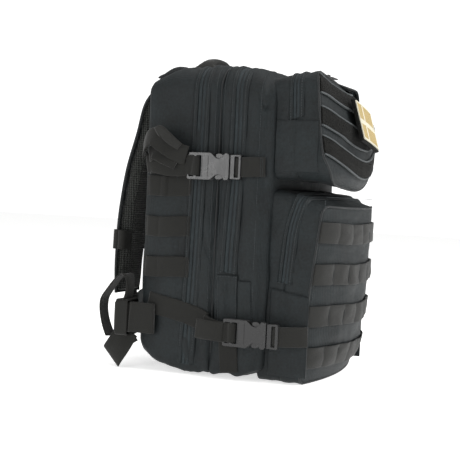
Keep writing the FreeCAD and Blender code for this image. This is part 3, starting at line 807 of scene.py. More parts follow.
def skin_run(y_of_z, z_end, y_offset=0.0, lift=0.0):
    """Points and normals along a line that climbs one side, crosses the top and comes down."""
    points, normals = [], []
    z = 200.0
    for j in range(RIGHT_BASE + CORNERS):
        for _ in range(2):
            point, outward = skin_at(j, float(y_of_z(z)) + y_offset)
            z = point[2]
        if SKIN[80, j, 2] >= z_end:
            points.append(point + outward * lift)
            normals.append(outward)
    return np.array(points), np.array(normals)


def strip_along(builder, runs, slot=0, jitter=0.0, seed=0.0):
    """Sheet through several lines laid side by side, closed underneath."""
    grid = np.array(runs)
    if jitter:
        grid = grid + (cloth_noise(grid, 12.0, seed) * jitter)[..., None] * np.array([1.0, 0.3, 0.3])
    run = np.r_[0, np.cumsum(np.linalg.norm(np.diff(grid[0], axis=0), axis=1))] * MM
    rows = len(grid)
    uv = np.zeros(grid.shape[:2] + (2,))
    uv[..., 0] = run[None, :]
    uv[..., 1] = (np.arange(rows) * 2.5 * MM)[:, None]
    builder.grid(grid, closed_v=True, uv=uv, slot=slot)
    builder.fan(grid[:, 0], slot)
    builder.fan(grid[::-1, -1], slot)


TAPE = ((0.3, -0.5), (0.35, 0.6), (1.0, 1.15), (2.6, 1.3), (4.2, 1.15), (5.2, 0.5), (5.3, -0.6))
LIP = ((4.7, 0.4), (4.6, 1.4), (5.1, 2.0), (6.2, 2.2), (8.0, 1.9), (10.2, 1.1), (12.0, 0.1), (11.6, -0.9), (5.4, -0.9))


def main_zip_y(z):
    return soft_ramp(z, (30, 94, 157, 282, 390), (46, 43, 41, 39, 38))


def second_zip_y(z):
    return soft_ramp(z, (130, 160, 283, 390), (-7, -8, -12.5, -12))


def zipper_run(name, y_of_z, z_end, seed=0.0):
    """Two smooth tapes that meet over the coil, between two folded lips of cloth."""
    builder = Builder(name + "_tapes")
    for side in (-1, 1):
        for shape, slot, jitter in ((TAPE, 1, 0.15), (LIP, 0, 0.45)):
            runs = [skin_run(y_of_z, z_end, side * offset, lift)[0] for offset, lift in shape]
            strip_along(builder, runs, slot=slot, jitter=jitter, seed=seed + side)
    return builder.make(PACKCLOTH, FLAPCLOTH)


def seam_cord(name, y_of_z, z_end, radius, lift):
    """Bound edge that stands a little proud along a seam."""
    builder = Builder(name)
    runs = []
    for a in np.linspace(0, 2 * math.pi, 8, endpoint=False):
        runs.append(skin_run(y_of_z, z_end, radius * math.cos(a), lift + radius * math.sin(a))[0])
    strip_along(builder, runs, jitter=0.25, seed=radius)
    return builder.make(BINDING)


def side_point(y, z, lift=0.0, side=-1):
    """Point on a side panel (vectorised over z with one y each)."""
    y, z = np.broadcast_arrays(np.asarray(y, dtype=float), np.asarray(z, dtype=float))
    flat = []
    for v, h in zip(y.ravel(), z.ravel()):
        foot, head = base_radius(v), top_radius(v)
        half, low, high = pack_half(v), pack_bottom(v) + foot, pack_top(v) - head
        x = half + side_swell(v, h) + seam_pull(v)
        if h > high:
            over = min((h - high) / head, 1)
            x -= head * (1 - math.sqrt(max(1 - over * over, 0)))
        if h < low:
            under = min((low - h) / foot, 1)
            x -= foot * (1 - math.sqrt(max(1 - under * under, 0)))
        if v > 102:
            k = min((v - 102) / 12, 1)
            x -= 13 * (1 - math.sqrt(max(1 - k * k, 0)))
        flat.append((side * (x + lift), v, h))
    return np.array(flat).reshape(y.shape + (3,))


def side_rows():
    """Load webbing on both side panels, tacked down into loops."""
    builder = Builder("side_rows")
    for side in (-1, 1):
        for row in range(4):
            low = SIDE_ROW_BASE + PITCH * row if row < 3 else SIDE_ROW_BASE + PITCH * 2 + 29
            y0, y1 = 47.5 + 0.6 * row, 109.0
            count = 40
            ys = np.linspace(y1, y0, count)
            share = (ys - y0) / (y1 - y0)
            lift = 0.9 + (1.7 if row < 3 else 0.0) * np.abs(np.sin(np.pi * share * 1.5)) ** 0.7
            lift[:2], lift[-2:] = 0.5, 0.6
            if row > 1:
                lift = np.where(ys < 80, np.minimum(lift, 0.35), lift)
            sag = 0.6 * np.sin(np.pi * share * 2 + row)
            z_mid = low + WEB / 2 + sag - share * 1.5
            path = side_point(ys, z_mid, 0.0, side)
            path[:, 0] += side * lift
            ups = np.tile([side * 1.0, 0.0, 0.0], (count, 1))
            lay_web(builder, path, ups, WEB, 1.3, crown=0.35)
            # turned-under ends
            for at in (0, -1):
                end = path[at] + np.array([0, 0, 0])
                fold = np.array([end + np.array([side * 0.2, d, 0]) for d in (-1.5, 1.5)])
                lay_web(builder, fold, np.array([side, 0, 0]), WEB - 0.6, 1.9)
    return builder.make(WEBBING)


# ---- stitches, tacks and zipper coils ---------------------------------------------------------
class Threads:
    """Chains of edges (mm) that Geometry Nodes turn into sewing."""

    def __init__(self, name):
        self.name, self.points, self.edges = name, [], []

    def chain(self, points):
        base = len(self.points)
        self.points.extend([tuple(p) for p in points])
        self.edges.extend([(base + i, base + i + 1) for i in range(len(points) - 1)])

    def mesh(self):
        mesh = bpy.data.meshes.new(self.name)
        mesh.from_pydata([tuple(c * MM for c in p) for p in self.points], self.edges, [])
        piece = bpy.data.objects.new(self.name, mesh)
        bpy.context.collection.objects.link(piece)
        return piece


def sewing_tree(kind):
    """Instances along a curve: 'stitch' and 'coil' repeat a bead, 'tack' sweeps a thread."""
    tree = bpy.data.node_groups.new("sewing_" + kind, "GeometryNodeTree")
    face = tree.interface
    face.new_socket("Geometry", in_out="INPUT", socket_type="NodeSocketGeometry")
    for label, value in (("Spacing", 0.003), ("Length", 0.0022), ("Radius", 0.0004)):
        socket = face.new_socket(label, in_out="INPUT", socket_type="NodeSocketFloat")
        socket.default_value = value
    face.new_socket("Material", in_out="INPUT", socket_type="NodeSocketMaterial")
    face.new_socket("Geometry", in_out="OUTPUT", socket_type="NodeSocketGeometry")
    nodes, links = tree.nodes, tree.links
    source, sink = nodes.new("NodeGroupInput"), nodes.new("NodeGroupOutput")
    curve = nodes.new("GeometryNodeMeshToCurve")
    links.new(source.outputs["Geometry"], curve.inputs[0])
    paint = nodes.new("GeometryNodeSetMaterial")
    realise = nodes.new("GeometryNodeRealizeInstances")
    if kind == "tack":
        ring = nodes.new("GeometryNodeCurvePrimitiveCircle")
        ring.inputs["Resolution"].default_value = 4
        links.new(source.outputs["Radius"], ring.inputs["Radius"])
        sweep = nodes.new("GeometryNodeCurveToMesh")
        sweep.inputs["Fill Caps"].default_value = True
        links.new(curve.outputs[0], sweep.inputs["Curve"])
        links.new(ring.outputs[0], sweep.inputs["Profile Curve"])
        links.new(sweep.outputs[0], realise.inputs[0])
    else:
        dots = nodes.new("GeometryNodeCurveToPoints")
        dots.mode = "LENGTH"
        links.new(curve.outputs[0], dots.inputs["Curve"])
        links.new(source.outputs["Spacing"], dots.inputs["Length"])
        bead = nodes.new("GeometryNodeMeshUVSphere")
        bead.inputs["Segments"].default_value = 6
        bead.inputs["Rings"].default_value = 4
        bead.inputs["Radius"].default_value = 1.0
        size = nodes.new("ShaderNodeCombineXYZ")
        links.new(source.outputs["Radius"], size.inputs["X"])
        links.new(source.outputs["Radius" if kind == "stitch" else "Length"], size.inputs["Y"])
        links.new(source.outputs["Length" if kind == "stitch" else "Radius"], size.inputs["Z"])
        place = nodes.new("GeometryNodeInstanceOnPoints")
        links.new(dots.outputs["Points"], place.inputs["Points"])
        links.new(bead.outputs["Mesh"], place.inputs["Instance"])
        links.new(dots.outputs["Rotation"], place.inputs["Rotation"])
        links.new(size.outputs[0], place.inputs["Scale"])
        links.new(place.outputs[0], realise.inputs[0])
    links.new(realise.outputs[0], paint.inputs["Geometry"])
    links.new(source.outputs["Material"], paint.inputs["Material"])
    links.new(paint.outputs[0], sink.inputs[0])
    return tree


def sew(threads, kind, material, spacing=0.0032, length=0.0011, radius=0.00036):
    """Run the node tree over the chains and keep the result as a plain mesh."""
    piece = threads.mesh()
    tree = bpy.data.node_groups.get("sewing_" + kind) or sewing_tree(kind)
    modifier = piece.modifiers.new("sewing", "NODES")
    modifier.node_group = tree
    values = {"Spacing": spacing, "Length": length, "Radius": radius, "Material": material}
    for item in tree.interface.items_tree:
        if getattr(item, "in_out", "") == "INPUT" and item.name in values:
            modifier[item.identifier] = values[item.name]
    bpy.context.view_layer.update()
    shown = piece.evaluated_get(bpy.context.evaluated_depsgraph_get())
    mesh = bpy.data.meshes.new_from_object(shown)
    piece.modifiers.clear()
    piece.data = mesh
    if not mesh.materials:
        mesh.materials.append(material)
    for poly in mesh.polygons:
        poly.use_smooth = True
    return piece


def zigzag(start, end, outward, amplitude=1.0, pitch=0.9):
    """A bar tack's thread from start to end, lying on a surface that faces outward."""
    start, end = np.asarray(start, dtype=float), np.asarray(end, dtype=float)
    along = end - start
    length = np.linalg.norm(along)
    across = unit(np.cross(along, outward))
    count = max(int(length / pitch), 3)
    return [start + along * i / count + across * amplitude * (1 if i % 2 else -1) for i in range(count + 1)]


# ---- what is sewn to the pockets ----------------------------------------------------------------
def gusset_at(pocket, y_values):
    """Points round a pocket's gusset, one depth for each place round it."""
    loops = np.array([pocket.ring(v)[i] for i, v in enumerate(y_values)])
    x, z, y = loops[:, 0], loops[:, 1], np.asarray(y_values, dtype=float)
    seam = pocket.face_y(x, z, False)
    points = np.stack([x, y, z], axis=1)
    depth = (y - FRONT_Y) / np.minimum(seam - FRONT_Y, -1)
    swell = 3.4 * np.sin(np.pi * np.clip(depth, 0, 1)) - 1.6 * hill(y - pocket.zip_y(z), 0, 6)
    up = np.clip((z - pocket.base) / (pocket.high - pocket.base), 0, 1)
    points[:, 0] += np.sign(x) * swell * smooth(70, 104, np.abs(x)) * np.sin(np.pi * up) ** 0.5
    points[:, 2] += smooth(pocket.high - 40, pocket.high - 8, z) * swell * 0.9 * (1 - (x / 118) ** 2)
    return points


def pocket_run(pocket, z_end, offset, lift, keep=None):
    y = np.full(len(pocket.ring(-80.0)), -80.0)
    for _ in range(3):
        z = gusset_at(pocket, y)[:, 2]
        y = pocket.zip_y(z) + offset
    points = gusset_at(pocket, y)
    along = unit(np.roll(points, -1, axis=0) - np.roll(points, 1, axis=0))
    outward = unit(np.stack([-along[:, 2], 0 * y, along[:, 0]], axis=1))
    if keep is None:
        last = 2 * 34 + 2 * 9 + 40
        return (points[:, 2] >= z_end) & (np.arange(len(points)) < last)
    return pocket.sag((points + outward * lift)[keep])


def pocket_zip(pocket, z_end, side, tape, seed):
    """The tape and lip of cloth on one side of a pocket's zipper."""
    builder = Builder("%s_zip_%s" % (pocket.name, "rear" if side > 0 else "front"))
    keep = pocket_run(pocket, z_end, 0.0, 0.0)
    for shape, slot, jitter in ((TAPE, 1, 0.12), (LIP, 0, 0.3)):
        runs = [pocket_run(pocket, z_end, side * offset * 0.85, lift, keep) for offset, lift in shape]
        strip_along(builder, runs, slot=slot, jitter=jitter, seed=seed)
    return builder.make(PACKCLOTH, FLAPCLOTH)


def face_band(builder, pocket, xs, zs, width, thick, lifts, crown=0.0, slot=0):
    """A strip that lies on a pocket's face and follows its shape."""
    section = web_section(width, thick, crown)
    grid = np.zeros((len(xs), len(section), 3))
    uv = np.zeros((len(xs), len(section), 2))
    for j, (a, u) in enumerate(section):
        grid[:, j], _ = pocket.face_point(xs, zs + a, lifts + u)
        uv[:, j, 0] = xs * MM
        uv[:, j, 1] = a * MM
    builder.grid(grid, closed_u=True, uv=uv, slot=slot)
    builder.fan(grid[0], slot)
    builder.fan(grid[-1][::-1], slot)


LOOP_PITCH = 37.3


def row_lift(xs, high=1.8):
    return 0.7 + high * np.abs(np.sin(np.pi * xs / LOOP_PITCH)) ** 0.6


def pocket_rows(rows, name):
    builder = Builder(name)
    xs = np.linspace(-111.5, 111.5, 150)
    for row in rows:
        low = FRONT_ROW_BASE + PITCH * row
        sag = -2.2 * np.cos(np.pi * xs / 223) - 0.6 * np.sin(xs / 21.0 + row)
        face_band(builder, LOWER, xs, low + WEB / 2 + 1.0 + sag, WEB, 1.3, row_lift(xs), crown=0.2)
    return builder.make(WEBBING)


def strip_sag(xs):
    return -17 * np.cos(np.pi * np.clip(xs / 224, -0.5, 0.5)) ** 1.2


LOOP_ROWS = (293.0, 328.0, 367.0)


def loop_strip(row, name):
    """Soft fastener sewn to the upper pocket, with a narrow bound edge above and below."""
    builder = Builder(name)
    xs = np.linspace(-110.5, 110.5, 130)
    high = LOOP_ROWS[row]
    zs = high + strip_sag(xs) * (1.0, 0.95, 0.9)[row]
    face_band(builder, UPPER, xs, zs, 23.0, 1.5, 0.9 + 0.3 * np.sin(xs / 14.0), crown=0.7)
    # both bound edges take the paler edging colour, a painted highlight where light catches the fold
    for edge in (-11.3, 11.3):
        face_band(builder, UPPER, xs, zs + edge, 1.7, 2.6, np.full(len(xs), 0.6), slot=1)
    return builder.make(PILE, EDGING_PAINTED_HIGHLIGHT)


def side_patch(pocket, y_low, y_high, z_top, name, seed):
    """A second layer of cloth at the foot of a pocket's gusset, below the zipper's end."""
    builder = Builder(name)
    for side in (-1, 1):
        ys = np.linspace(y_low, y_high, 26)
        zs = np.linspace(0, 1, 30)
        for layer in (1,):
            grid = np.zeros((len(zs), len(ys), 3))
            for j, y in enumerate(ys):
                top = z_top(y)
                z = pocket.base + 9 + (top - pocket.base - 9) * zs
                depth = np.clip((y - FRONT_Y) / (pocket.face_y(112.0 * side, z, False) - FRONT_Y), 0, 1)
                up = np.clip((z - pocket.base) / (pocket.high - pocket.base), 0, 1)
                swell = (3.4 * np.sin(np.pi * depth) - 1.6 * hill(y - pocket.zip_y(z), 0, 6)) * np.sin(np.pi * up) ** 0.5
                foot = float(pocket.foot_radius(y))
                corner = np.clip((pocket.base + foot - z) / foot, 0, 1)
                inset = foot * (1 - np.sqrt(1 - corner ** 2))
                grid[:, j] = np.stack([side * (POCKET_HALF + swell - inset + 1.9), np.full(len(z), y), z], axis=1)
            grid[..., 0] += side * cloth_noise(grid, 14.0, seed) * 0.8
            back = grid - np.array([side * 2.6, 0, 0])
            edge = np.vstack([grid[0], grid[1:-1, -1], grid[-1][::-1], grid[1:-1, 0][::-1]])
            rear = np.vstack([back[0], back[1:-1, -1], back[-1][::-1], back[1:-1, 0][::-1]])
            builder.grid(grid)
            builder.grid(np.array([edge, rear]), closed_u=True)
            builder.grid(back)
    return builder.make(PACKCLOTH)


def badge():
    """Two-tone emblem patch with plain bars, on its own backing."""
    builder = Builder("emblem_patch")
    origin = np.array([-41.0, -125.5, 350.5])
    right = unit(np.array([1.0, 0.0, -0.12]))
    down = unit(np.array([0.0, -0.31, -0.95]))
    down = unit(down - right * np.dot(down, right))
    out = unit(np.cross(right, down))
    out = out if out[1] < 0 else -out
    width, height = 77.0, 51.0
    xs, zs = np.linspace(0, width, 112), np.linspace(0, height, 67)

    def at(a, b, lift):
        return origin + right * a + down * b + out * (lift - 3.0 * (a / width) ** 2 + 6.5)

    def pale(a, b):
        edge = min(a, width - a, b, height - b)
        return edge < 2.6 or abs(a - 24) < 3.2 or abs(b - 26) < 3.2

    columns = len(xs)
    top = [at(a, b, 2.6 if pale(a, b) else 2.05) for b in zs for a in xs]
    builder.add(top, [], None)
    uv = [(a * MM, b * MM) for b in zs for a in xs]
    for i in range(len(zs) - 1):
        for j in range(columns - 1):
            corners = (i * columns + j, i * columns + j + 1, (i + 1) * columns + j + 1, (i + 1) * columns + j)
            builder.faces.append(corners)
            builder.uvs.append([uv[c] for c in corners])
            builder.slots.append(1 if pale(xs[j] + 0.33, zs[i] + 0.33) else 0)
    rim = [at(a, 0, 2.6) for a in xs] + [at(width, b, 2.6) for b in zs[1:]]
    rim += [at(a, height, 2.6) for a in xs[::-1][1:]] + [at(0, b, 2.6) for b in zs[::-1][1:-1]]
    foot = [p - out * 1.6 for p in rim]
    builder.grid(np.array([rim, foot]), closed_u=True, slot=1)
    builder.fan(np.array(foot), 1)
    # dark backing a little wider than the patch
    for low, high, grow in ((-0.4, 1.2, 2.2),):
        outline = [(-grow, -grow), (width + grow, -grow), (width + grow, height + grow), (-grow, height + grow)]
        dense = []
        for k in range(4):
            (a0, b0), (a1, b1) = outline[k], outline[(k + 1) % 4]
            dense += [(a0 + (a1 - a0) * t, b0 + (b1 - b0) * t) for t in np.linspace(0, 1, 24, endpoint=False)]
        upper = np.array([at(a, b, high) for a, b in dense])
        lower = np.array([at(a, b, low - 3.0) for a, b in dense])
        builder.grid(np.array([upper, lower]), closed_u=True, slot=2)
        grid = np.array([[at(a, b, high) for a in np.linspace(-grow, width + grow, 25)] for b in np.linspace(-grow, height + grow, 25)])
        builder.grid(grid, slot=2)
        grid = np.array([[at(a, b, low - 3.0) for a in np.linspace(-grow, width + grow, 25)] for b in np.linspace(-grow, height + grow, 25)])
        builder.grid(grid, slot=2)
    return builder.make(PATCH_GOLD, PATCH_PALE, PILE)


# ---- side-release buckles and compression straps ----------------------------------------------
BUCKLE_X = -134.0


def rounded(corners, turns=5):
    """Outline from (u, v, radius) corners."""
    loop, count = [], len(corners)
    for i, (u, v, radius) in enumerate(corners):
        here = np.array([u, v])
        before = np.array(corners[i - 1][:2]) - here
        after = np.array(corners[(i + 1) % count][:2]) - here
        reach = min(radius, 0.48 * np.linalg.norm(before), 0.48 * np.linalg.norm(after))
        if reach < 0.05:
            loop.append(here)
            continue
        start, end = here + unit(before) * reach, here + unit(after) * reach
        for t in np.linspace(0, 1, turns + 1):
            loop.append(start * (1 - t) ** 2 + here * 2 * t * (1 - t) + end * t * t)
    loop = np.array(loop)
    area = np.sum(loop[:, 0] * np.roll(loop[:, 1], -1) - loop[:, 1] * np.roll(loop[:, 0], -1))
    return loop if area > 0 else loop[::-1]


def shrunk(loop, inset):
    ahead, behind = np.roll(loop, -1, axis=0) - loop, loop - np.roll(loop, 1, axis=0)
    along = unit(unit(ahead + 1e-9) + unit(behind + 1e-9))
    return loop + np.stack([-along[:, 1], along[:, 0]], axis=1) * inset


def moulding(builder, outline, holes, low, high, edge, place, slot=0):
    """A flat moulding with rounded edges; place turns (u, v, w) into a point."""
    from mathutils.geometry import tessellate_polygon
    outlines = [outline] + [hole[::-1] for hole in holes]
    ends = []
    for inset, w in ((edge, low), (0.3 * edge, low + 0.3 * edge), (0.0, low + edge), (0.0, high - edge),
                     (0.3 * edge, high - 0.3 * edge), (edge, high)):
        ends.append([[place(u, v, w) for u, v in shrunk(loop, inset)] for loop in outlines])
    for k in range(len(outlines)):
        builder.grid(np.array([level[k] for level in ends]), closed_u=True, slot=slot)
    for level, turn in ((ends[0], -1), (ends[-1], 1)):
        flat = [[Vector((u, v, 0)) for u, v in shrunk(loop, edge)] for loop in outlines]
        points = [p for loop in level for p in loop]
        faces = [tuple(face)[::turn] for face in tessellate_polygon(flat)]
        builder.add(points, faces, None, slot)


def buckle_place(mouth, z, side):
    return lambda u, v, w: (side * (-BUCKLE_X + w), mouth + u, z + v)


def mirrored_half(points):
    return points + [(u, -v, r) for u, v, r in points[::-1]]


SOCKET_HALF = [
    (0.0, 13.4, 1.5), (2.0, 16.4, 2.5), (6.6, 16.8, 1.5), (9.0, 13.2, 3.0), (13.0, 9.6, 4.5), (18.0, 10.4, 4.0),
    (22.5, 14.6, 3.0), (25.5, 16.9, 2.5), (57.0, 16.9, 3.0),
]
WINDOWS = ((38.0, 44.6), (47.6, 54.2))


def box_loop(u0, u1, half, radius):
    return rounded([(u0, -half, radius), (u1, -half, radius), (u1, half, radius), (u0, half, radius)])


def socket(name, mouth, z, side):
    builder = Builder(name)
    place = buckle_place(mouth, z, side)
    outline = rounded(mirrored_half(SOCKET_HALF))
    holes = [box_loop(a, b, 12.75, 1.2) for a, b in WINDOWS]
    moulding(builder, outline, holes, 2.35, 4.0, 0.55, place)
    moulding(builder, outline, holes, -4.0, -2.35, 0.55, place)
    core = rounded(mirrored_half([(23.6, 14.6, 1.0), (26.0, 16.2, 1.5), (56.4, 16.2, 2.5)]))
    moulding(builder, core, holes, -2.5, 2.5, 0.1, place)
    for way in (-1, 1):
        post = rounded([(0.6, way * 13.3, 0.4), (6.0, way * 13.3, 0.4), (6.0, way * 16.0, 0.8), (1.8, way * 16.0, 0.8)])
        moulding(builder, post, [], -2.5, 2.5, 0.1, place)
    # a raised bead round the thumb hollows and across the ladder
    for u in (28.0, 36.4):
        bead = rounded([(u, -13.0, 0.6), (u + 1.3, -13.0, 0.6), (u + 1.3, 13.0, 0.6), (u, 13.0, 0.6)])
        moulding(builder, bead, [], 3.8, 4.35, 0.28, place)
    return builder.make(ACETAL, merge=0.005, crisp=True)


def plugs():
    builder = Builder("buckle_plug_frames")
    for side in (-1, 1):
        for mouth, z in ((-8.0, STRAP_Z), (-66.0, 60.0)):
            place = buckle_place(mouth, z, side)
            frame = rounded([(-15.0, -15.6, 3.0), (-0.35, -15.0, 1.2), (-0.35, 15.0, 1.2), (-15.0, 15.6, 3.0)])
            moulding(builder, frame, [box_loop(-11.2, -6.8, 12.3, 1.0)], -3.0, 3.0, 0.8, place)
            moulding(builder, box_loop(-0.6, 17.6, 3.0, 0.8), [], -1.9, 1.9, 0.4, place)
    return builder.make(ACETAL, merge=0.005, crisp=True)


def prong(name, mouth, z, side, way):
    builder = Builder(name)
    corners = [(0.6, 8.5, 0.3), (19.9, 8.5, 0.8), (19.9, 11.6, 0.8), (18.4, 15.9, 1.6), (12.0, 16.1, 2.5),
               (5.6, 11.6, 2.0), (0.6, 11.5, 0.3)]
    outline = rounded([(u, way * v, r) for u, v, r in corners])
    moulding(builder, outline, [], -1.95, 1.95, 0.5, buckle_place(mouth, z, side))
    return builder.make(ACETAL, merge=0.005, crisp=True)


def strap_skin(y, z, out=0.0):
    """Point on the left side panel, as an array."""
    return side_point(float(y), float(z), out)


def flip(points, side):
    return np.asarray(points, dtype=float) * np.array([1.0 if side < 0 else -1.0, 1.0, 1.0])


def compression_webbing():
    """Straps sewn at the rear edges and tabs sewn at the front, both sides."""
    builder = Builder("compression_webbing")
    for side in (-1, 1):
        out = np.array([side, 0.0, 0.0])
        low = STRAP_Z
        rear = [strap_skin(107, low, 0.3), strap_skin(96, low, 1.2), strap_skin(84, low, 1.6), (-130.8, 78, low)]
        lay_web(builder, resample(flip(rear, side), 2.5), out, 24.2, 1.5)
        tab = [strap_skin(-48, low + 1.5, 0.0), strap_skin(-42, low + 1.2, 0.8), (-131.8, -31, low + 0.6),
               (-133.4, -22, low), (-133.2, -17.3, low), (-133.0, -15.3, low)]
        lay_web(builder, resample(flip(tab, side), 1.5), out, 24.2, 2.3)
        # the slanting lower strap
        slant = [strap_skin(101, 88, 0.4), strap_skin(84, 85, 1.3), strap_skin(60, 80.5, 1.0),
                 strap_skin(36, 74, 1.4), strap_skin(20, 68, 2.4)]
        lay_web(builder, resample(flip(slant, side), 2.5), out, 26.0, 1.5, wave=0.15)
        tab = [(-114.2, -110 if side < 0 else -99, 60.6), (-119.5, -104 if side < 0 else -97, 60.4), (-127.0, -92, 60.2), (-132.6, -80.5, 60), (-133.2, -75, 60),
               (-133.0, -73.3, 60)]
        lay_web(builder, resample(flip(tab, side), 1.5), out, 24.2, 2.3)
    return builder.make(WEBBING)


def strap_tail(level, side):
    """Webbing through a buckle's ladder, and its loose end."""
    builder = Builder("%s_tail_web_%s" % (level, "left" if side < 0 else "right"))
    out = np.array([side, 0.0, 0.0])
    if level == "upper":
        z = STRAP_Z
        ladder = [(-135.0, 33.2, z), (-137.6, 36.6, z), (-138.8, 38.4, z), (-137.4, 40.6, z + 0.3),
                  (-136.4, 43.6, z + 0.6), (-138.0, 50.5, z + 1.0)]
        lay_web(builder, resample(flip(ladder, side), 1.2), out, 24.0, 1.4)
        fold = [(-139.4, 49.5, z + 12), (-142.8, 56, z + 14), (-145.6, 64, z + 18), (-148.2, 74, z + 24), (-150.0, 84, z + 31),
                (-149.6, 92, z + 34), (-146.8, 100, z + 31), (-143.0, 106, z + 22), (-140.2, 108, z + 9)]
        ups = np.array([[side, 0, 0], [side, -0.1, 0.1], [side, -0.2, 0.2], [side, -0.1, 0.35], [side, 0.1, 0.4],
                        [side, 0.4, 0.4], [side * 0.8, 0.9, 0.3], [side * 0.6, 1, 0.1], [side * 0.4, 1, 0]], dtype=float)
        path = resample(flip(fold, side), 2.0)
        at = np.linspace(0, 1, len(path))
        turned = np.stack([np.interp(at, np.linspace(0, 1, len(ups)), ups[:, k]) for k in range(3)], axis=1)
        lay_web(builder, path, turned, 24.0, 1.4, crown=0.4, wave=0.25)
        under = [(-137.0, 50, z - 1), (-139.5, 60, z - 2), (-141.6, 72, z - 2), (-141.4, 84, z), (-139.2, 96, z + 2),
                 (-136.6, 105, z + 1)]
        lay_web(builder, resample(flip(under, side), 2.0), out, 24.0, 1.4, crown=0.5, wave=0.3)
        curl = [(-146.4, 56, z + 22), (-150.2, 63, z + 28), (-152.2, 71, z + 35), (-152.0, 79, z + 40), (-149.4, 85, z + 38)]
        lay_web(builder, resample(flip(curl, side), 2.0), np.array([side, 0.35, -0.45]), 17.0, 1.4, crown=0.9, wave=0.3)
        inner = [(-142.6, 60, z + 4), (-145.2, 70, z + 8), (-146.0, 82, z + 13), (-143.6, 92, z + 16), (-140.6, 100, z + 12)]
        lay_web(builder, resample(flip(inner, side), 2.0), np.array([side, 0.0, 0.5]), 22.0, 1.4, crown=0.6, wave=0.3)
    else:
        z = 60.0
        ladder = [(-135.0, -25.2, z), (-137.6, -21.4, z), (-138.8, -19.6, z), (-137.4, -17.4, z), (-136.4, -14.4, z),
                  (-138.2, -8.5, z)]
        lay_web(builder, resample(flip(ladder, side), 1.2), out, 24.0, 1.4)
        loose = [(-138.4, -9.5, z), (-140.4, -2, z + 0.4), (-140.6, 6, z + 0.8), (-139.6, 15, z + 1.2), (-137.4, 24, z + 1.6),
                 (-136.8, 27, z + 1.8)]
        lay_web(builder, resample(flip(loose, side), 1.5), out, 24.0, 1.5, crown=0.3)
        under = [(-137.8, -9.5, z), (-137.0, 0, z + 1.5), (-134.6, 12, z + 4), (-131.6, 22, z + 7)]
        lay_web(builder, resample(flip(under, side), 1.5), out, 24.0, 1.5)
    return builder.make(WEBBING)


# ---- back panel, shoulder straps, chest strap and belt --------------------------------------------
def box_map(mesh):
    """Lay the flat map again after a remesh, each face along its widest direction."""
    layer = mesh.uv_layers.new(name="flat")
    points = np.zeros(len(mesh.vertices) * 3)
    mesh.vertices.foreach_get("co", points)
    points = points.reshape(-1, 3)
    facing = np.zeros(len(mesh.polygons) * 3)
    mesh.polygons.foreach_get("normal", facing)
    facing = np.argmax(np.abs(facing.reshape(-1, 3)), axis=1)
    corners = np.zeros(len(mesh.loops), dtype=int)
    mesh.loops.foreach_get("vertex_index", corners)
    sides = np.zeros(len(mesh.polygons), dtype=int)
    mesh.polygons.foreach_get("loop_total", sides)
    planes = np.array([(1, 2), (0, 2), (0, 1)])[np.repeat(facing, sides)]
    flat = np.take_along_axis(points[corners], planes, axis=1)
    layer.data.foreach_set("uv", flat.ravel())


def inflate(piece, cap, voxel=5.0, pressure=4.0):
    """Fill a padded piece: remesh, let pressure swell it, keep each point near its start."""
    bpy.context.view_layer.objects.active = piece
    remesh = piece.modifiers.new("remesh", "REMESH")
    remesh.mode = "VOXEL"
    remesh.voxel_size = voxel * MM
    bpy.context.view_layer.update()
    rest = bpy.data.meshes.new_from_object(piece.evaluated_get(bpy.context.evaluated_depsgraph_get()))
    piece.modifiers.clear()
    slots = [material for material in piece.data.materials]
    piece.data = rest
    cloth = piece.modifiers.new("fill", "CLOTH")
    cloth.settings.use_pressure = True
    cloth.settings.uniform_pressure_force = pressure
    cloth.settings.effector_weights.gravity = 0.0
    cloth.settings.quality = 4
    cloth.collision_settings.use_collision = False
    scene = bpy.context.scene
    for frame in range(1, 21):
        scene.frame_set(frame)
    shown = bpy.data.meshes.new_from_object(piece.evaluated_get(bpy.context.evaluated_depsgraph_get()))
    count = len(rest.vertices)
    start, moved = np.zeros(count * 3), np.zeros(count * 3)
    rest.vertices.foreach_get("co", start)
    shown.vertices.foreach_get("co", moved)
    start, moved = start.reshape(-1, 3), moved.reshape(-1, 3)
    step = moved - start
    length = np.linalg.norm(step, axis=1, keepdims=True)
    moved = start + step * np.minimum(1.0, cap * MM / np.maximum(length, 1e-9))
    piece.modifiers.clear()
    rest.vertices.foreach_set("co", moved.ravel())
    rest.update()
    scene.frame_set(1)
    smooth_it = piece.modifiers.new("soften", "SUBSURF")
    smooth_it.levels = smooth_it.render_levels = 1
    bpy.context.view_layer.update()
    final = bpy.data.meshes.new_from_object(piece.evaluated_get(bpy.context.evaluated_depsgraph_get()))
    piece.modifiers.clear()
    box_map(final)
    piece.data = final
    if not final.materials:
        for material in slots:
            final.materials.append(material)
    for poly in final.polygons:
        poly.use_smooth = True
        poly.material_index = 0
    return piece


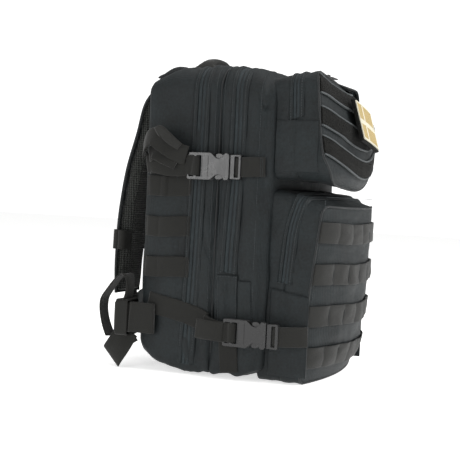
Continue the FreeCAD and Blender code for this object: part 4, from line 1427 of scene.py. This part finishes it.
def back_pad():
    """Quilted spacer-mesh panel: two padded columns with a channel between, and cross channels."""
    builder = Builder("back_panel_pad")
    xs, zs = np.linspace(-112, 112, 85), np.linspace(45, 310, 107)
    x, z = np.meshgrid(xs, zs)
    edge_x, edge_z = 1 - np.abs(x) / 105, 1 - np.abs((z - 177.5) / 132.5)
    corner = np.clip(1 - np.hypot(np.maximum(np.abs(x) - 77, 0), np.maximum(np.abs(z - 177.5) - 104.5, 0)) / 28, 0, 1)
    rise = np.clip(np.minimum(edge_x * 105, edge_z * 132.5) / 5, 0, 1) ** 0.4 * np.clip(corner * 5, 0, 1) ** 0.4
    channel = 1 - 0.75 * hill(x, 0, 9)
    for level in (110, 178, 246):
        channel = channel * (1 - 0.45 * hill(z, level, 4.5) * smooth(6, 14, np.abs(x)))
    y = 112.4 + 10.2 * rise * channel
    front = np.stack([x, y, z], axis=-1)
    rear = front.copy()
    rear[..., 1] = 110.4
    # pull the square corners in to a rounded plan
    for grid in (front, rear):
        over = np.hypot(np.maximum(np.abs(x) - 77, 0), np.maximum(np.abs(z - 177.5) - 104.5, 0))
        pull = np.where(over > 28, 28 / np.maximum(over, 1e-6), 1.0)
        dx, dz = np.maximum(np.abs(x) - 77, 0) * (1 - pull), np.maximum(np.abs(z - 177.5) - 104.5, 0) * (1 - pull)
        grid[..., 0] -= np.sign(x) * dx
        grid[..., 2] -= np.sign(z - 177.5) * dz
    uv = np.stack([x * MM, z * MM], axis=-1)
    builder.grid(front, uv=uv)
    builder.grid(rear, uv=uv)
    for a, b in ((front[0], rear[0]), (front[-1], rear[-1]), (front[:, 0], rear[:, 0]), (front[:, -1], rear[:, -1])):
        builder.grid(np.array([a, b]))
    return builder.make(MESH)


STRAP_LINE = ((0.5, 352), (14, 335), (23, 300), (36, 255), (43, 213), (46, 180), (47, 130), (45, 92))


def strap_curve(step=4.0):
    path = resample(np.array([(0.0, REAR_Y + out, z) for out, z in STRAP_LINE]), step)
    along = unit(np.gradient(path, axis=0))
    out = unit(np.stack([np.zeros(len(path)), -along[:, 2], along[:, 1]], axis=1))
    return path, out


def shoulder_strap(side, shrink=1.5):
    """Foam-filled strap: mesh against the body, cloth outside, bound along both edges."""
    builder = Builder("shoulder_pad_%s" % ("left" if side < 0 else "right"))
    path, out = strap_curve()
    count = len(path)
    share = np.linspace(0, 1, count)
    curve = 1.6 * np.sin(np.pi * share)
    rim = []
    for t in np.linspace(0, 2 * math.pi, 28, endpoint=False):
        a, u = math.cos(t), math.sin(t)
        rim.append((np.sign(a) * abs(a) ** 0.42, np.sign(u) * abs(u) ** 0.62))
    grid = np.zeros((count, len(rim), 3))
    uv = np.zeros((count, len(rim), 2))
    run = np.r_[0, np.cumsum(np.linalg.norm(np.diff(path, axis=0), axis=1))]
    dimple = 0.6 * np.sin(run / 13.0)
    for j, (a, u) in enumerate(rim):
        half, thick = 31.0 - shrink * 0.4, 7.0 - shrink * 0.5
        tight = np.minimum(1.0, 0.45 + 7 * np.minimum(share, 1 - share))
        middle = path + out * 7.0
        grid[:, j] = middle + out * (u * thick * tight + dimple * 0.25 * np.sign(u))[:, None]
        grid[:, j, 0] = side * (63.0 - curve + a * half)
        uv[:, j, 0], uv[:, j, 1] = run * MM, (a * half + (60 if u > 0 else 0)) * MM
    builder.grid(grid, closed_u=True, uv=uv)
    builder.fan(grid[0])
    builder.fan(grid[-1][::-1])
    return builder.make(MESH)


def strap_edges(side):
    """Binding along both edges of a shoulder strap, and the cloth cover of its outer face."""
    builder = Builder("shoulder_binding_%s" % ("left" if side < 0 else "right"))
    path, out = strap_curve()
    share = np.linspace(0, 1, len(path))
    curve = 1.6 * np.sin(np.pi * share)
    for way in (-1, 1):
        ring = []
        for t in np.linspace(0, 2 * math.pi, 10, endpoint=False):
            line = path + out * (12.2 + 1.9 * math.sin(t))
            line = line.copy()
            line[:, 0] = side * (63.0 - curve + way * (30.8 + 1.7 * math.cos(t)))
            ring.append(line)
        grid = np.array(ring).transpose(1, 0, 2)
        builder.grid(grid, closed_u=True)
        builder.fan(grid[0])
        builder.fan(grid[-1][::-1])
    return builder.make(BINDING)


def strap_cover(side):
    builder = Builder("shoulder_cover_%s" % ("left" if side < 0 else "right"))
    path, out = strap_curve()
    share = np.linspace(0, 1, len(path))
    curve = 1.6 * np.sin(np.pi * share)
    section = [(-30.5, 13.0), (-26, 14.2), (-13, 14.8), (0, 15.0), (13, 14.8), (26, 14.2), (30.5, 13.0), (30.4, 12.2), (0, 12.4), (-30.4, 12.2)]
    grid = np.zeros((len(path), len(section), 3))
    for j, (a, u) in enumerate(section):
        grid[:, j] = path + out * u
        grid[:, j, 0] = side * (63.0 - curve + a)
    grid = grid + (cloth_noise(grid, 16.0, 8.0 + side) * 0.35)[..., None] * out[:, None, :]
    builder.grid(grid, closed_u=True)
    builder.fan(grid[0])
    builder.fan(grid[-1][::-1])
    # webbing down the middle, with a keeper at the chest strap
    line = path[4:].copy() + out[4:] * 15.2
    line[:, 0] = side * (63.0 - curve[4:])
    lay_web(builder, line, out[4:], WEB, 1.3, slot=1, wave=0.2)
    return builder.make(PACKCLOTH, WEBBING)


def keeper(side):
    """Webbing sleeve round a shoulder strap where the chest strap is held."""
    builder = Builder("strap_keeper_%s" % ("left" if side < 0 else "right"))
    path, out = strap_curve(2.0)
    for z_mid in (162.7,):
        i = int(np.argmin(np.abs(path[:, 2] - z_mid)))
        middle, normal = path[i] + out[i] * 8.3, out[i]
        loop = []
        for t in np.linspace(0, 2 * math.pi, 40, endpoint=False):
            a, u = math.cos(t), math.sin(t)
            a, u = np.sign(a) * abs(a) ** 0.35, np.sign(u) * abs(u) ** 0.5
            point = middle + normal * (u * 9.6)
            loop.append((side * (62.0 + a * 35.0), point[1], point[2]))
        loop = np.array(loop + loop[:1])
        centre = np.array([side * 62.0, middle[1], middle[2]])
        ups = unit(loop - centre)
        lay_web(builder, loop, ups, WEB, 1.3)
    return builder.make(WEBBING)


def chest_strap():
    builder = Builder("chest_webbing")
    for side in (-1, 1):
        y = REAR_Y + 47 + 14 + 3.2
        path = [(side * 92, y - 1.5, 162.7), (side * 80, y + 0.4, 162.7), (side * 62, y + 1.2, 162.5), (side * 44, y + 0.6, 162.0),
                (side * 30, y - 0.4, 162.0), (side * 21, y - 1.4, 162.7)]
        lay_web(builder, resample(np.array(path), 2.5), np.array([0, 1.0, 0]), 25.0, 1.4)
        tail = [(side * 24, y + 1.6, 162.7), (side * 33, y + 3.2, 161.0), (side * 42, y + 3.4, 158.0), (side * 50, y + 3.0, 153.5)]
        lay_web(builder, resample(np.array(tail), 2.0), np.array([0, 1.0, 0]), 24.0, 1.3, crown=0.3)
    return builder.make(WEBBING)


def chest_buckle():
    builder = Builder("chest_buckle_halves")
    place = lambda u, v, w: (u, 173.0 + w, 162.7 + v)
    left = rounded([(-24, -15.3, 3), (-6, -15.3, 3), (-1.3, -11.5, 2), (-1.3, 11.5, 2), (-6, 15.3, 3), (-24, 15.3, 3)])
    moulding(builder, left, [box_loop(-21, -16.5, 12.9, 1.0)], -3.6, 3.6, 0.9, place)
    right = rounded([(24, -15.3, 3), (24, 15.3, 3), (5, 15.3, 2.5), (1.0, 11.0, 2), (-0.7, 7, 1), (-0.7, -7, 1), (1.0, -11.0, 2), (5, -15.3, 2.5)])
    moulding(builder, right, [box_loop(16.5, 21, 12.9, 1.0)], -3.0, 3.0, 0.8, place)
    return builder.make(ACETAL, merge=0.005, crisp=True)


def shoulder_webs():
    """Webbing from the foot of each shoulder strap back to the base of the pack."""
    builder = Builder("shoulder_foot_webbing")
    for side in (-1, 1):
        path = [(side * 66, REAR_Y + 1, 33), (side * 65, 119, 36), (side * 64, 134, 47), (side * 63, 147, 62), (side * 63, 154, 73),
                (side * 63, 158, 84), (side * 63, 159, 94)]
        lay_web(builder, resample(np.array(path, dtype=float), 2.5), np.array([0, 0.8, -0.6]), WEB, 1.5)
        loose = [(side * 63, 163, 70), (side * 62.6, 166, 60), (side * 61, 168, 46), (side * 58, 165, 32), (side * 56, 158, 21)]
        lay_web(builder, resample(np.array(loose, dtype=float), 2.5), np.array([0, 1.0, 0.3]), 24.0, 1.4, crown=0.5, wave=0.3)
    return builder.make(WEBBING)


def adjusters():
    """Tri-glide buckles at the foot of the shoulder straps."""
    builder = Builder("strap_adjusters")
    for side in (-1, 1):
        place = lambda u, v, w: (side * 63.0 + v, 160.0 + w, 80.0 + u)
        outline = box_loop(-10, 10, 16.0, 2.5)
        holes = [box_loop(-7.6, -2.2, 13.0, 0.8), box_loop(1.6, 7.0, 13.0, 0.8)]
        moulding(builder, outline, holes, -2.6, 2.6, 0.8, place)
    return builder.make(ACETAL, merge=0.005, crisp=True)


def waist_belt(side):
    """Belt webbing folded into a bundle beside the pack, with a loop above and a cut end below."""
    builder = Builder("belt_web_%s" % ("left" if side < 0 else "right"))
    out = np.array([side, 0.0, 0.0])
    z = 67.0
    root = [(-98, 111.2, z), (-110, 112.6, z), (-121, 111, z), (-129, 106, z), (-133.5, 99, z), (-134.4, 93, z)]
    ups = np.array([[0, 1.0, 0], [0, 1.0, 0], [side * 0.4, 1.0, 0], [side * 0.9, 0.8, 0], [side, 0.3, 0], [side, 0, 0]])
    path = resample(flip(root, side), 2.5)
    at = np.linspace(0, 1, len(path))
    turned = np.stack([np.interp(at, np.linspace(0, 1, 6), ups[:, k]) for k in range(3)], axis=1)
    lay_web(builder, path, turned, 38.0, 1.5)
    # the flat face seen from the side, doubled back on itself
    for layer, (y0, y1, x0, x1) in enumerate(((88, 121, -133.6, -138.2), (89, 122, -130.4, -134.6), (90, 121, -127.4, -131.0))):
        face = [(x0, y0, z), (x0 - 1.6, y0 + 9, z), (x1 + 1.6, y1 - 9, z), (x1, y1, z + 0.4)]
        lay_web(builder, resample(flip(face, side), 2.5), out, 38.0, 1.4, crown=0.2)
    # keeper loop round the bundle
    for y_mid, x_in, x_out, wide in ((132.0, -112.0, -139.0, 17.0),):
        corners = rounded([(-z_half, x, 2.5) for z_half, x in ((21.5, x_in), (-21.5, x_in), (-21.5, x_out), (21.5, x_out))])
        loop = np.array([(x, y_mid, z + v - 1.0) for v, x in corners])
        loop = np.vstack([loop, loop[:1]])
        centre = np.array([(x_in + x_out) / 2, y_mid, z - 1.0])
        lay_web(builder, flip(loop, side), unit(flip(loop, side) - flip([centre], side)), wide, 1.6)
    # folded layers inside the keeper
    for k in range(5):
        x = -116.0 - k * 4.6
        path = [(x, 121, z - 1), (x - 0.6, 128, z - 1), (x - 0.4, 137, z - 1), (x + 0.4, 144, z - 1)]
        lay_web(builder, resample(flip(path, side), 2.5), out, 37.0, 1.6, crown=0.3)
    # standing arch: a loop of webbing pushed up out of the bundle
    arch = [(-126, 131, 86), (-128, 127, 98), (-128.5, 126, 108), (-127.5, 128, 116), (-125.5, 134, 120.5), (-123.5, 143, 118),
            (-122, 152, 110), (-121, 160, 100), (-120.5, 168, 88), (-120, 170, 76), (-120, 168, 62), (-121, 163, 49), (-122, 157, 38)]
    path = resample(flip(arch, side), 2.5)
    along = unit(np.gradient(path, axis=0))
    outward = unit(np.cross(along, np.array([1.0, 0.12, 0.0])))
    lay_web(builder, path, outward, 27.0, 1.5, wave=0.2)
    # cut end hanging below
    end = [(-128, 128, 50), (-129, 132, 42), (-130.5, 137, 32), (-131, 142, 24), (-130, 147, 17), (-128, 150, 13)]
    path = resample(flip(end, side), 2.5)
    lay_web(builder, path, np.array([side, 0.15, 0.1]), 36.0, 1.5, crown=0.6, wave=0.4)
    return builder.make(WEBBING)


def grab_handle():
    """Webbing handle rolled round a soft core, flat where it is sewn down."""
    builder = Builder("handle_roll")
    xs = np.linspace(-43, 43, 60)
    share = np.clip(1 - (xs / 43) ** 2, 0, 1)
    z = 388.0 + 17.5 * share ** 0.62
    y = 90.0 - 13.0 * np.ones_like(xs)
    path = np.stack([xs, y, z], axis=1)
    along = unit(np.gradient(path, axis=0))
    up = unit(np.cross(along, np.array([0, 1.0, 0])))
    up = np.where(up[:, 2:3] < 0, -up, up)
    thick = 1.4 + 4.2 * smooth(0.12, 0.6, share)
    wide = 19.0 - 8.5 * smooth(0.15, 0.65, share)
    grid = np.zeros((len(xs), 20, 3))
    for j, t in enumerate(np.linspace(0, 2 * math.pi, 20, endpoint=False)):
        a, u = math.cos(t), math.sin(t)
        a, u = np.sign(a) * abs(a) ** 0.8, np.sign(u) * abs(u) ** 0.8
        grid[:, j] = path + up * (u * thick)[:, None] + np.array([0, 1.0, 0]) * (a * wide)[:, None]
    builder.grid(grid, closed_u=True)
    builder.fan(grid[0])
    builder.fan(grid[-1][::-1])
    return builder.make(WEBBING)


def hose_flap():
    """A thick cloth flap over the hose opening, rolled over at its rear edge."""
    builder = Builder("hose_cover")
    xs, ys = np.linspace(-106, -68, 26), np.linspace(58, 111, 44)
    x, y = np.meshgrid(xs, ys)
    z = np.zeros_like(x)
    for i in range(x.shape[0]):
        depth = min(y[i, 0], 104)
        corner = float(top_radius(depth))
        start = float(pack_half(depth)) - corner
        over = np.clip((-x[i] - start) / corner, 0, 1)
        z[i] = float(pack_top(depth)) - corner * (1 - np.sqrt(1 - over ** 2))
    across = np.sqrt(np.clip(1 - ((x + 87) / 19.2) ** 2, 0, 1))
    roll = np.sqrt(np.clip(1 - ((y - 94) / 17.2) ** 2, 0, 1))
    lift = 1.6 + 7.2 * roll * across ** 0.5 + 0.8 * across
    wrinkle = cloth_noise(np.stack([x, y, z], axis=-1), 11.0, 4.0) * 0.9
    top = np.stack([x, y, z + lift + wrinkle * across], axis=-1)
    low = np.stack([x, y, z - 1.0 + 1.6 * smooth(96, 111, y)], axis=-1)
    edge = np.vstack([top[0], top[1:-1, -1], top[-1][::-1], top[1:-1, 0][::-1]])
    foot = np.vstack([low[0], low[1:-1, -1], low[-1][::-1], low[1:-1, 0][::-1]])
    builder.grid(top)
    builder.grid(low)
    builder.grid(np.array([edge, foot]), closed_u=True, slot=1)
    return builder.make(PACKCLOTH, BINDING)


def strap_wings():
    """Triangles of doubled cloth that carry the shoulder webbing at the rear corners."""
    builder = Builder("strap_wings")
    for side in (-1, 1):
        root_low, root_high, tip = (np.array(p) for p in ((-112.0, 109.0, 40.0), (-114.0, 108.0, 106.0), (-70.0, 148.0, 80.0)))
        rows = []
        for a in np.linspace(0, 1, 24):
            start = root_low + (root_high - root_low) * a
            end = tip + np.array([0, 0, 11.0]) * (a - 0.5) * 2
            line = np.array([start + (end - start) * b for b in np.linspace(0, 1, 30)])
            line[:, 1] += 3.0 * np.sin(np.pi * np.linspace(0, 1, 30))
            rows.append(line)
        top = np.array(rows)
        top = top + (cloth_noise(top, 13.0, 6.0) * 0.9)[..., None] * np.array([0.6, 0.8, 0])
        low = top + np.array([1.6, -1.8, 0])
        top, low = flip(top, side), flip(low, side)
        edge = np.vstack([top[0], top[1:-1, -1], top[-1][::-1], top[1:-1, 0][::-1]])
        foot = np.vstack([low[0], low[1:-1, -1], low[-1][::-1], low[1:-1, 0][::-1]])
        builder.grid(top)
        builder.grid(low)
        builder.grid(np.array([edge, foot]), closed_u=True, slot=1)
    return builder.make(PACKCLOTH, BINDING)


def base_loop():
    """Small webbing loop sewn under the front of the base."""
    builder = Builder("base_loop")
    for x in (-58.0, 58.0):
        path = [(x, -88, 2.2), (x, -80, 4.0), (x, -72, 6.5), (x, -64, 9.0)]
        lay_web(builder, resample(np.array(path, dtype=float), 2.0), np.array([0, 0, -1.0]), 20.0, 1.4)
    return builder.make(WEBBING)


def slider_body(name, x, y, z, way):
    """Zipper slider: a waisted plate with a bridge on top."""
    builder = Builder(name)
    place = lambda u, v, w: (x + way * u, y + v, z + w)
    plate = rounded([(-5.4, -3.2, 1.2), (-2.0, -4.3, 1.6), (2.6, -4.0, 1.6), (5.4, -2.4, 1.4), (5.4, 2.4, 1.4), (2.6, 4.0, 1.6),
                     (-2.0, 4.3, 1.6), (-5.4, 3.2, 1.2)])
    moulding(builder, plate, [], 0.3, 1.9, 0.5, place)
    moulding(builder, box_loop(-3.2, 4.2, 1.5, 0.8), [], 1.8, 4.6, 0.6, place)
    return builder.make(LACQUER, merge=0.005, crisp=True)


def pull_tab(name, x, y, z, way):
    """A slim metal tab with a hole at its end."""
    builder = Builder(name)
    place = lambda u, v, w: (x + way * u, y + v, z + w)
    tab = rounded([(7.3, -2.6, 1.0), (18.0, -2.9, 1.2), (32.6, -2.9, 2.2), (32.6, 2.9, 2.2), (18.0, 2.9, 1.2), (7.3, 2.6, 1.0)])
    moulding(builder, tab, [rounded([(27.0, -1.1, 0.8), (30.4, -1.1, 0.8), (30.4, 1.1, 0.8), (27.0, 1.1, 0.8)])], 1.4, 2.9, 0.45, place)
    return builder.make(LACQUER, merge=0.005, crisp=True)


# ---- reinforcement, seams and stitching -----------------------------------------------------------
def foot_patch():
    """Doubled cloth over the end of the second zipper, with a webbing strip beside it."""
    builder = Builder("zip_end_patch")
    for side in (-1, 1):
        for y0, y1, z0, z1, lift, slot in ((-20.5, 6.5, 46, 129, 1.6, 0), (-38.5, -21.5, 40, 123, 1.4, 0)):
            ys, zs = np.linspace(y0, y1, 16), np.linspace(z0, z1, 40)
            y, z = np.meshgrid(ys, zs)
            y = y - 5.5 * smooth(120, 30, z) * (1 if y0 < -30 else 0.6)
            top = side_point(y, z, lift, side)
            top[..., 0] += side * cloth_noise(top, 13.0, 21.0) * 0.9
            low = top - np.array([side * 2.6, 0, 0])
            edge = np.vstack([top[0], top[1:-1, -1], top[-1][::-1], top[1:-1, 0][::-1]])
            foot = np.vstack([low[0], low[1:-1, -1], low[-1][::-1], low[1:-1, 0][::-1]])
            builder.grid(top, slot=slot)
            builder.grid(low, slot=slot)
            builder.grid(np.array([edge, foot]), closed_u=True, slot=slot)
    return builder.make(PACKCLOTH)


def low_webbing():
    """Webbing that runs down from under the lower strap to the base."""
    builder = Builder("base_edge_webbing")
    for side in (-1, 1):
        path = np.array([side_point(-9.0 - 0.09 * (70 - z), float(z), 1.8, side) for z in np.linspace(72, 9, 26)])
        lay_web(builder, path, np.array([side, 0.0, 0.0]), 24.0, 1.3)
    return builder.make(WEBBING)


def seam_rope(name, lines, radius, material):
    """Thin bound edge along each line of points."""
    builder = Builder(name)
    for points, ups in lines:
        points = np.asarray(points, dtype=float)
        along = unit(np.gradient(points, axis=0))
        ups = unit(np.broadcast_to(ups, points.shape) - along * np.sum(along * ups, axis=1, keepdims=True))
        across = np.cross(along, ups)
        ring = [points + across * radius * math.cos(t) + ups * radius * math.sin(t)
                for t in np.linspace(0, 2 * math.pi, 8, endpoint=False)]
        grid = np.array(ring).transpose(1, 0, 2)
        builder.grid(grid, closed_u=True)
        builder.fan(grid[0])
        builder.fan(grid[-1][::-1])
    return builder.make(material)


def pocket_seam(pocket):
    """The bound seam between a pocket's gusset and its face."""
    loop = pocket.ring(-110.0)
    for _ in range(3):
        y = pocket.face_y(loop[:, 0], loop[:, 1], False)
        loop = np.array([pocket.ring(v)[i] for i, v in enumerate(y)])
    z = np.maximum(loop[:, 1], 1.8)
    points = np.stack([loop[:, 0], pocket.face_y(loop[:, 0], loop[:, 1], False) - 0.2, z], axis=1)
    points = pocket.sag(np.vstack([points, points[:1]]))
    centre = np.array([0, -60.0, (pocket.low + pocket.high) / 2])
    return seam_rope(pocket.name + "_piping", [(points, unit(points - centre))], 1.25, BINDING)


def root_threads():
    threads = Threads("root_threads")
    for y_of_z, z_end in ((main_zip_y, 34.0), (second_zip_y, 133.0)):
        for offset in (-8.4, 8.4):
            threads.chain(skin_run(y_of_z, z_end, offset, 2.0)[0])
    for offset in (-5.5, 5.5):
        threads.chain(skin_run(lambda z: 13.0, 40, offset, 0.9)[0])
    threads.chain(skin_run(lambda z: -41.0, 40, 0.0, 0.5)[0])
    for pocket, z_end in ((LOWER, 119.0), (UPPER, 323.0)):
        keep = pocket_run(pocket, z_end, 0.0, 0.0)
        threads.chain(pocket_run(pocket, z_end, 7.0, 2.05, keep))
    for side in (-1, 1):
        for z in (44.0, 310.0):
            pass
        for y in (-18.8, 4.8):
            threads.chain([side_point(y - 3.3 * float(smooth(120, 30, z)), float(z), 1.9, side) for z in np.linspace(50, 127, 60)])
        threads.chain([side_point(float(y), 127.2, 1.9, side) for y in np.linspace(-18.8, 4.8, 24)])
    return threads


def root_tacks():
    tacks = Threads("root_tacks")
    for side in (-1, 1):
        out = np.array([side, 0, 0.0])
        for row in range(3):
            low = SIDE_ROW_BASE + PITCH * row
            for y in (49.8, 66.5, 84.5, 101.5):
                point = side_point(y, low + WEB / 2, 1.6 if row == 2 and y < 80 else 2.6, side)
                tacks.chain(zigzag(point - np.array([0, 0, 11.4]), point + np.array([0, 0, 11.4]), out, 0.9))
        for y in (-44.5, -46.5):
            point = side_point(y, STRAP_Z + 1.2, 3.0, side)
            tacks.chain(zigzag(point - np.array([0, 0, 11.0]), point + np.array([0, 0, 11.0]), out, 0.7))
        for y in (99.5, 103.5):
            point = side_point(y, STRAP_Z, 2.6, side)
            tacks.chain(zigzag(point - np.array([0, 0, 11.0]), point + np.array([0, 0, 11.0]), out, 0.7))
    return tacks


def row_tacks(rows, name):
    tacks = Threads(name)
    for row in rows:
        low = FRONT_ROW_BASE + PITCH * row
        for k in range(-2, 3):
            x = k * LOOP_PITCH
            z = low + WEB / 2 + 1.0 - 2.2 * math.cos(math.pi * x / 223)
            ends = [LOWER.face_point(x, z + d, 2.3)[0] for d in (-11.5, 11.5)]
            tacks.chain(zigzag(ends[0], ends[1], (0, -1.0, 0), 0.9))
    return tacks


def cover_threads(pocket, z_end):
    """Top-stitching on the moving part of a pocket: beside the zipper and inside the face seam."""
    threads = Threads(pocket.name + "_threads")
    keep = pocket_run(pocket, z_end, 0.0, 0.0)
    threads.chain(pocket_run(pocket, z_end, -7.0, 2.05, keep))
    xs = np.linspace(-104, 104, 120)
    threads.chain(pocket.face_point(xs, np.full(120, pocket.high - 9.0), 0.5)[0])
    for side in (-1, 1):
        zs = np.linspace(pocket.low + 24, pocket.high - 14, 90)
        threads.chain(pocket.face_point(np.full(90, side * 107.5), zs, 0.5)[0])
    if pocket is UPPER:
        for row, share in ((0, 1.0), (1, 0.95), (2, 0.9)):
            zs = LOOP_ROWS[row] + strip_sag(xs) * share
            for edge in (-10.2, 10.2):
                threads.chain(pocket.face_point(xs, zs + edge, 2.9)[0])
    return threads


def coils(y_of_z, z_end):
    threads = Threads("coil_line")
    threads.chain(skin_run(y_of_z, z_end, 0.0, 0.45)[0])
    return threads


def pocket_coils(pocket, z_end):
    threads = Threads("coil_line")
    keep = pocket_run(pocket, z_end, 0.0, 0.0)
    threads.chain(pocket_run(pocket, z_end, 0.0, 0.45, keep))
    return threads


# ---- put everything on the frame --------------------------------------------------------------
def settle(piece, body, nodes):
    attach(piece, body)
    if nodes:
        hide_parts(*nodes)


def hinged(piece, nodes):
    """Cloth that runs over the line where a pocket's cover folds."""
    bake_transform(piece)
    if nodes:
        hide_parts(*nodes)


settle(compartments(), "root", ("rear_shell", "middle_shell", "front_shell"))
for pocket, cover, low, high in ((LOWER, "lower_pocket_cover", 96, 124), (UPPER, "upper_pocket_cover", 272, 304)):
    behind, ahead = pocket.build(cover, low, high)
    settle(behind, "root", (pocket.name + "_base",))
    hinged(ahead, (pocket.name + "_cover",))
settle(zipper_run("main_zip", main_zip_y, 14.0, 1.0), "root", ("main_zipper",))
settle(zipper_run("second_zip", second_zip_y, 131.0, 4.0), "root", ("second_zipper",))
settle(seam_cord("divider_binding", lambda z: 13.0, 30, 1.1, 1.0), "root", ())
settle(side_rows(), "root", ("side_webbing",))
settle(pocket_zip(LOWER, 118.0, 1, True, 2.0), "root", ("pocket_zippers",))
settle(pocket_zip(UPPER, 322.0, 1, True, 3.0), "root", ())
hinged(pocket_zip(LOWER, 118.0, -1, False, 5.0), ())
hinged(pocket_zip(UPPER, 322.0, -1, False, 6.0), ())
settle(pocket_rows((0, 1), "lower_rows"), "root", ("lower_base_webbing",))
settle(pocket_rows((2, 3), "upper_rows"), "lower_pocket_cover", ("lower_cover_webbing",))
hinged(loop_strip(0, "low_loop"), ("lower_loop_strip",))
hinged(loop_strip(1, "middle_loop"), ("upper_loop_strip",))
hinged(loop_strip(2, "high_loop"), ())
settle(badge(), "upper_pocket_cover", ("patch",))
settle(side_patch(LOWER, -110.0, -61.0, lambda y: 108 + (y + 108) * 0.19, "lower_foot", 3.0), "root", ())
settle(side_patch(UPPER, -84.0, -58.0, lambda y: 321.0, "upper_foot_rear", 3.0), "root", ())
hinged(side_patch(UPPER, -112.0, -83.0, lambda y: 321.0, "upper_foot_front", 3.0), ())

settle(compression_webbing(), "root", ("compression_straps",))
settle(plugs(), "root", ("buckle_plugs",))
for side, hand in ((-1, "left"), (1, "right")):
    for level, mouth, z in (("upper", -8.0, STRAP_Z), ("lower", -66.0, 60.0)):
        body = "%s_socket_%s" % (level, hand)
        settle(socket(body + "_shell", mouth, z, side), body, (body,))
        settle(strap_tail(level, side), body, ("%s_tail_%s" % (level, hand),))
        for end, way in (("top", 1), ("bottom", -1)):
            node = "%s_prong_%s_%s" % (level, end, hand)
            settle(prong(node + "_arm", mouth, z, side, way), node, (node,))
pad = inflate(back_pad(), 5.0)
settle(pad, "root", ("back_pad",))
for side, hand in ((-1, "left"), (1, "right")):
    strap = inflate(shoulder_strap(side), 5.0, 5.0)
    settle(strap, "root", ("shoulder_strap_" + hand,))
    settle(strap_edges(side), "root", ())
    settle(strap_cover(side), "root", ())
    settle(keeper(side), "root", ())
    settle(waist_belt(side), "root", ("waist_belt_" + hand,))
settle(chest_strap(), "root", ("chest_strap",))
settle(chest_buckle(), "root", ("chest_buckle",))
settle(shoulder_webs(), "root", ("shoulder_webbing",))
settle(adjusters(), "root", ("shoulder_adjusters",))
handle = inflate(grab_handle(), 5.0, 4.0)
settle(handle, "root", ("grab_handle",))
settle(hose_flap(), "root", ("hose_flap",))
settle(strap_wings(), "root", ())
settle(base_loop(), "root", ())
SLIDERS = {
    "main_left": (-12, 38, 388.0, -1), "main_right": (12, 38, 388.0, 1),
    "second_left": (-12, -12, 388.0, -1), "second_right": (12, -12, 388.0, 1),
    "upper_pocket": (0, -83, 385.0, 1), "lower_pocket": (0, -84, 232.0, 1),
}
for name, (x, y, z, way) in SLIDERS.items():
    settle(slider_body(name + "_slider_body", x, y, z, way), name + "_slider", (name + "_slider",))
    settle(pull_tab(name + "_grip", x, y, z, way), name + "_pull_tab", (name + "_pull_tab",))
for node, material in (("frame_sheet", BOARD), ("hydration_sleeve", PACKCLOTH)):
    shown = bpy.data.objects[node]
    shown.data.materials.clear()
    shown.data.materials.append(material)

settle(foot_patch(), "root", ())
settle(low_webbing(), "root", ())
settle(sew(root_threads(), "stitch", THREAD), "root", ())
settle(sew(root_tacks(), "tack", THREAD, radius=0.0003), "root", ())
settle(sew(row_tacks((0, 1), "low_row_tacks"), "tack", THREAD, radius=0.0003), "root", ())
settle(sew(row_tacks((2, 3), "high_row_tacks"), "tack", THREAD, radius=0.0003), "lower_pocket_cover", ())
for name, y_of_z, z_end in (("main_coil", main_zip_y, 17.0), ("second_coil", second_zip_y, 134.0)):
    settle(sew(coils(y_of_z, z_end), "coil", COIL, spacing=0.0016, length=0.0019, radius=0.0006), "root", ())
for pocket, cover, low, high, z_end in ((LOWER, "lower_pocket_cover", 96, 124, 119.0), (UPPER, "upper_pocket_cover", 272, 304, 323.0)):
    hinged(sew(cover_threads(pocket, z_end), "stitch", THREAD), ())
    hinged(pocket_seam(pocket), ())
    settle(sew(pocket_coils(pocket, z_end), "coil", COIL, spacing=0.0016, length=0.0019, radius=0.0006), "root", ())
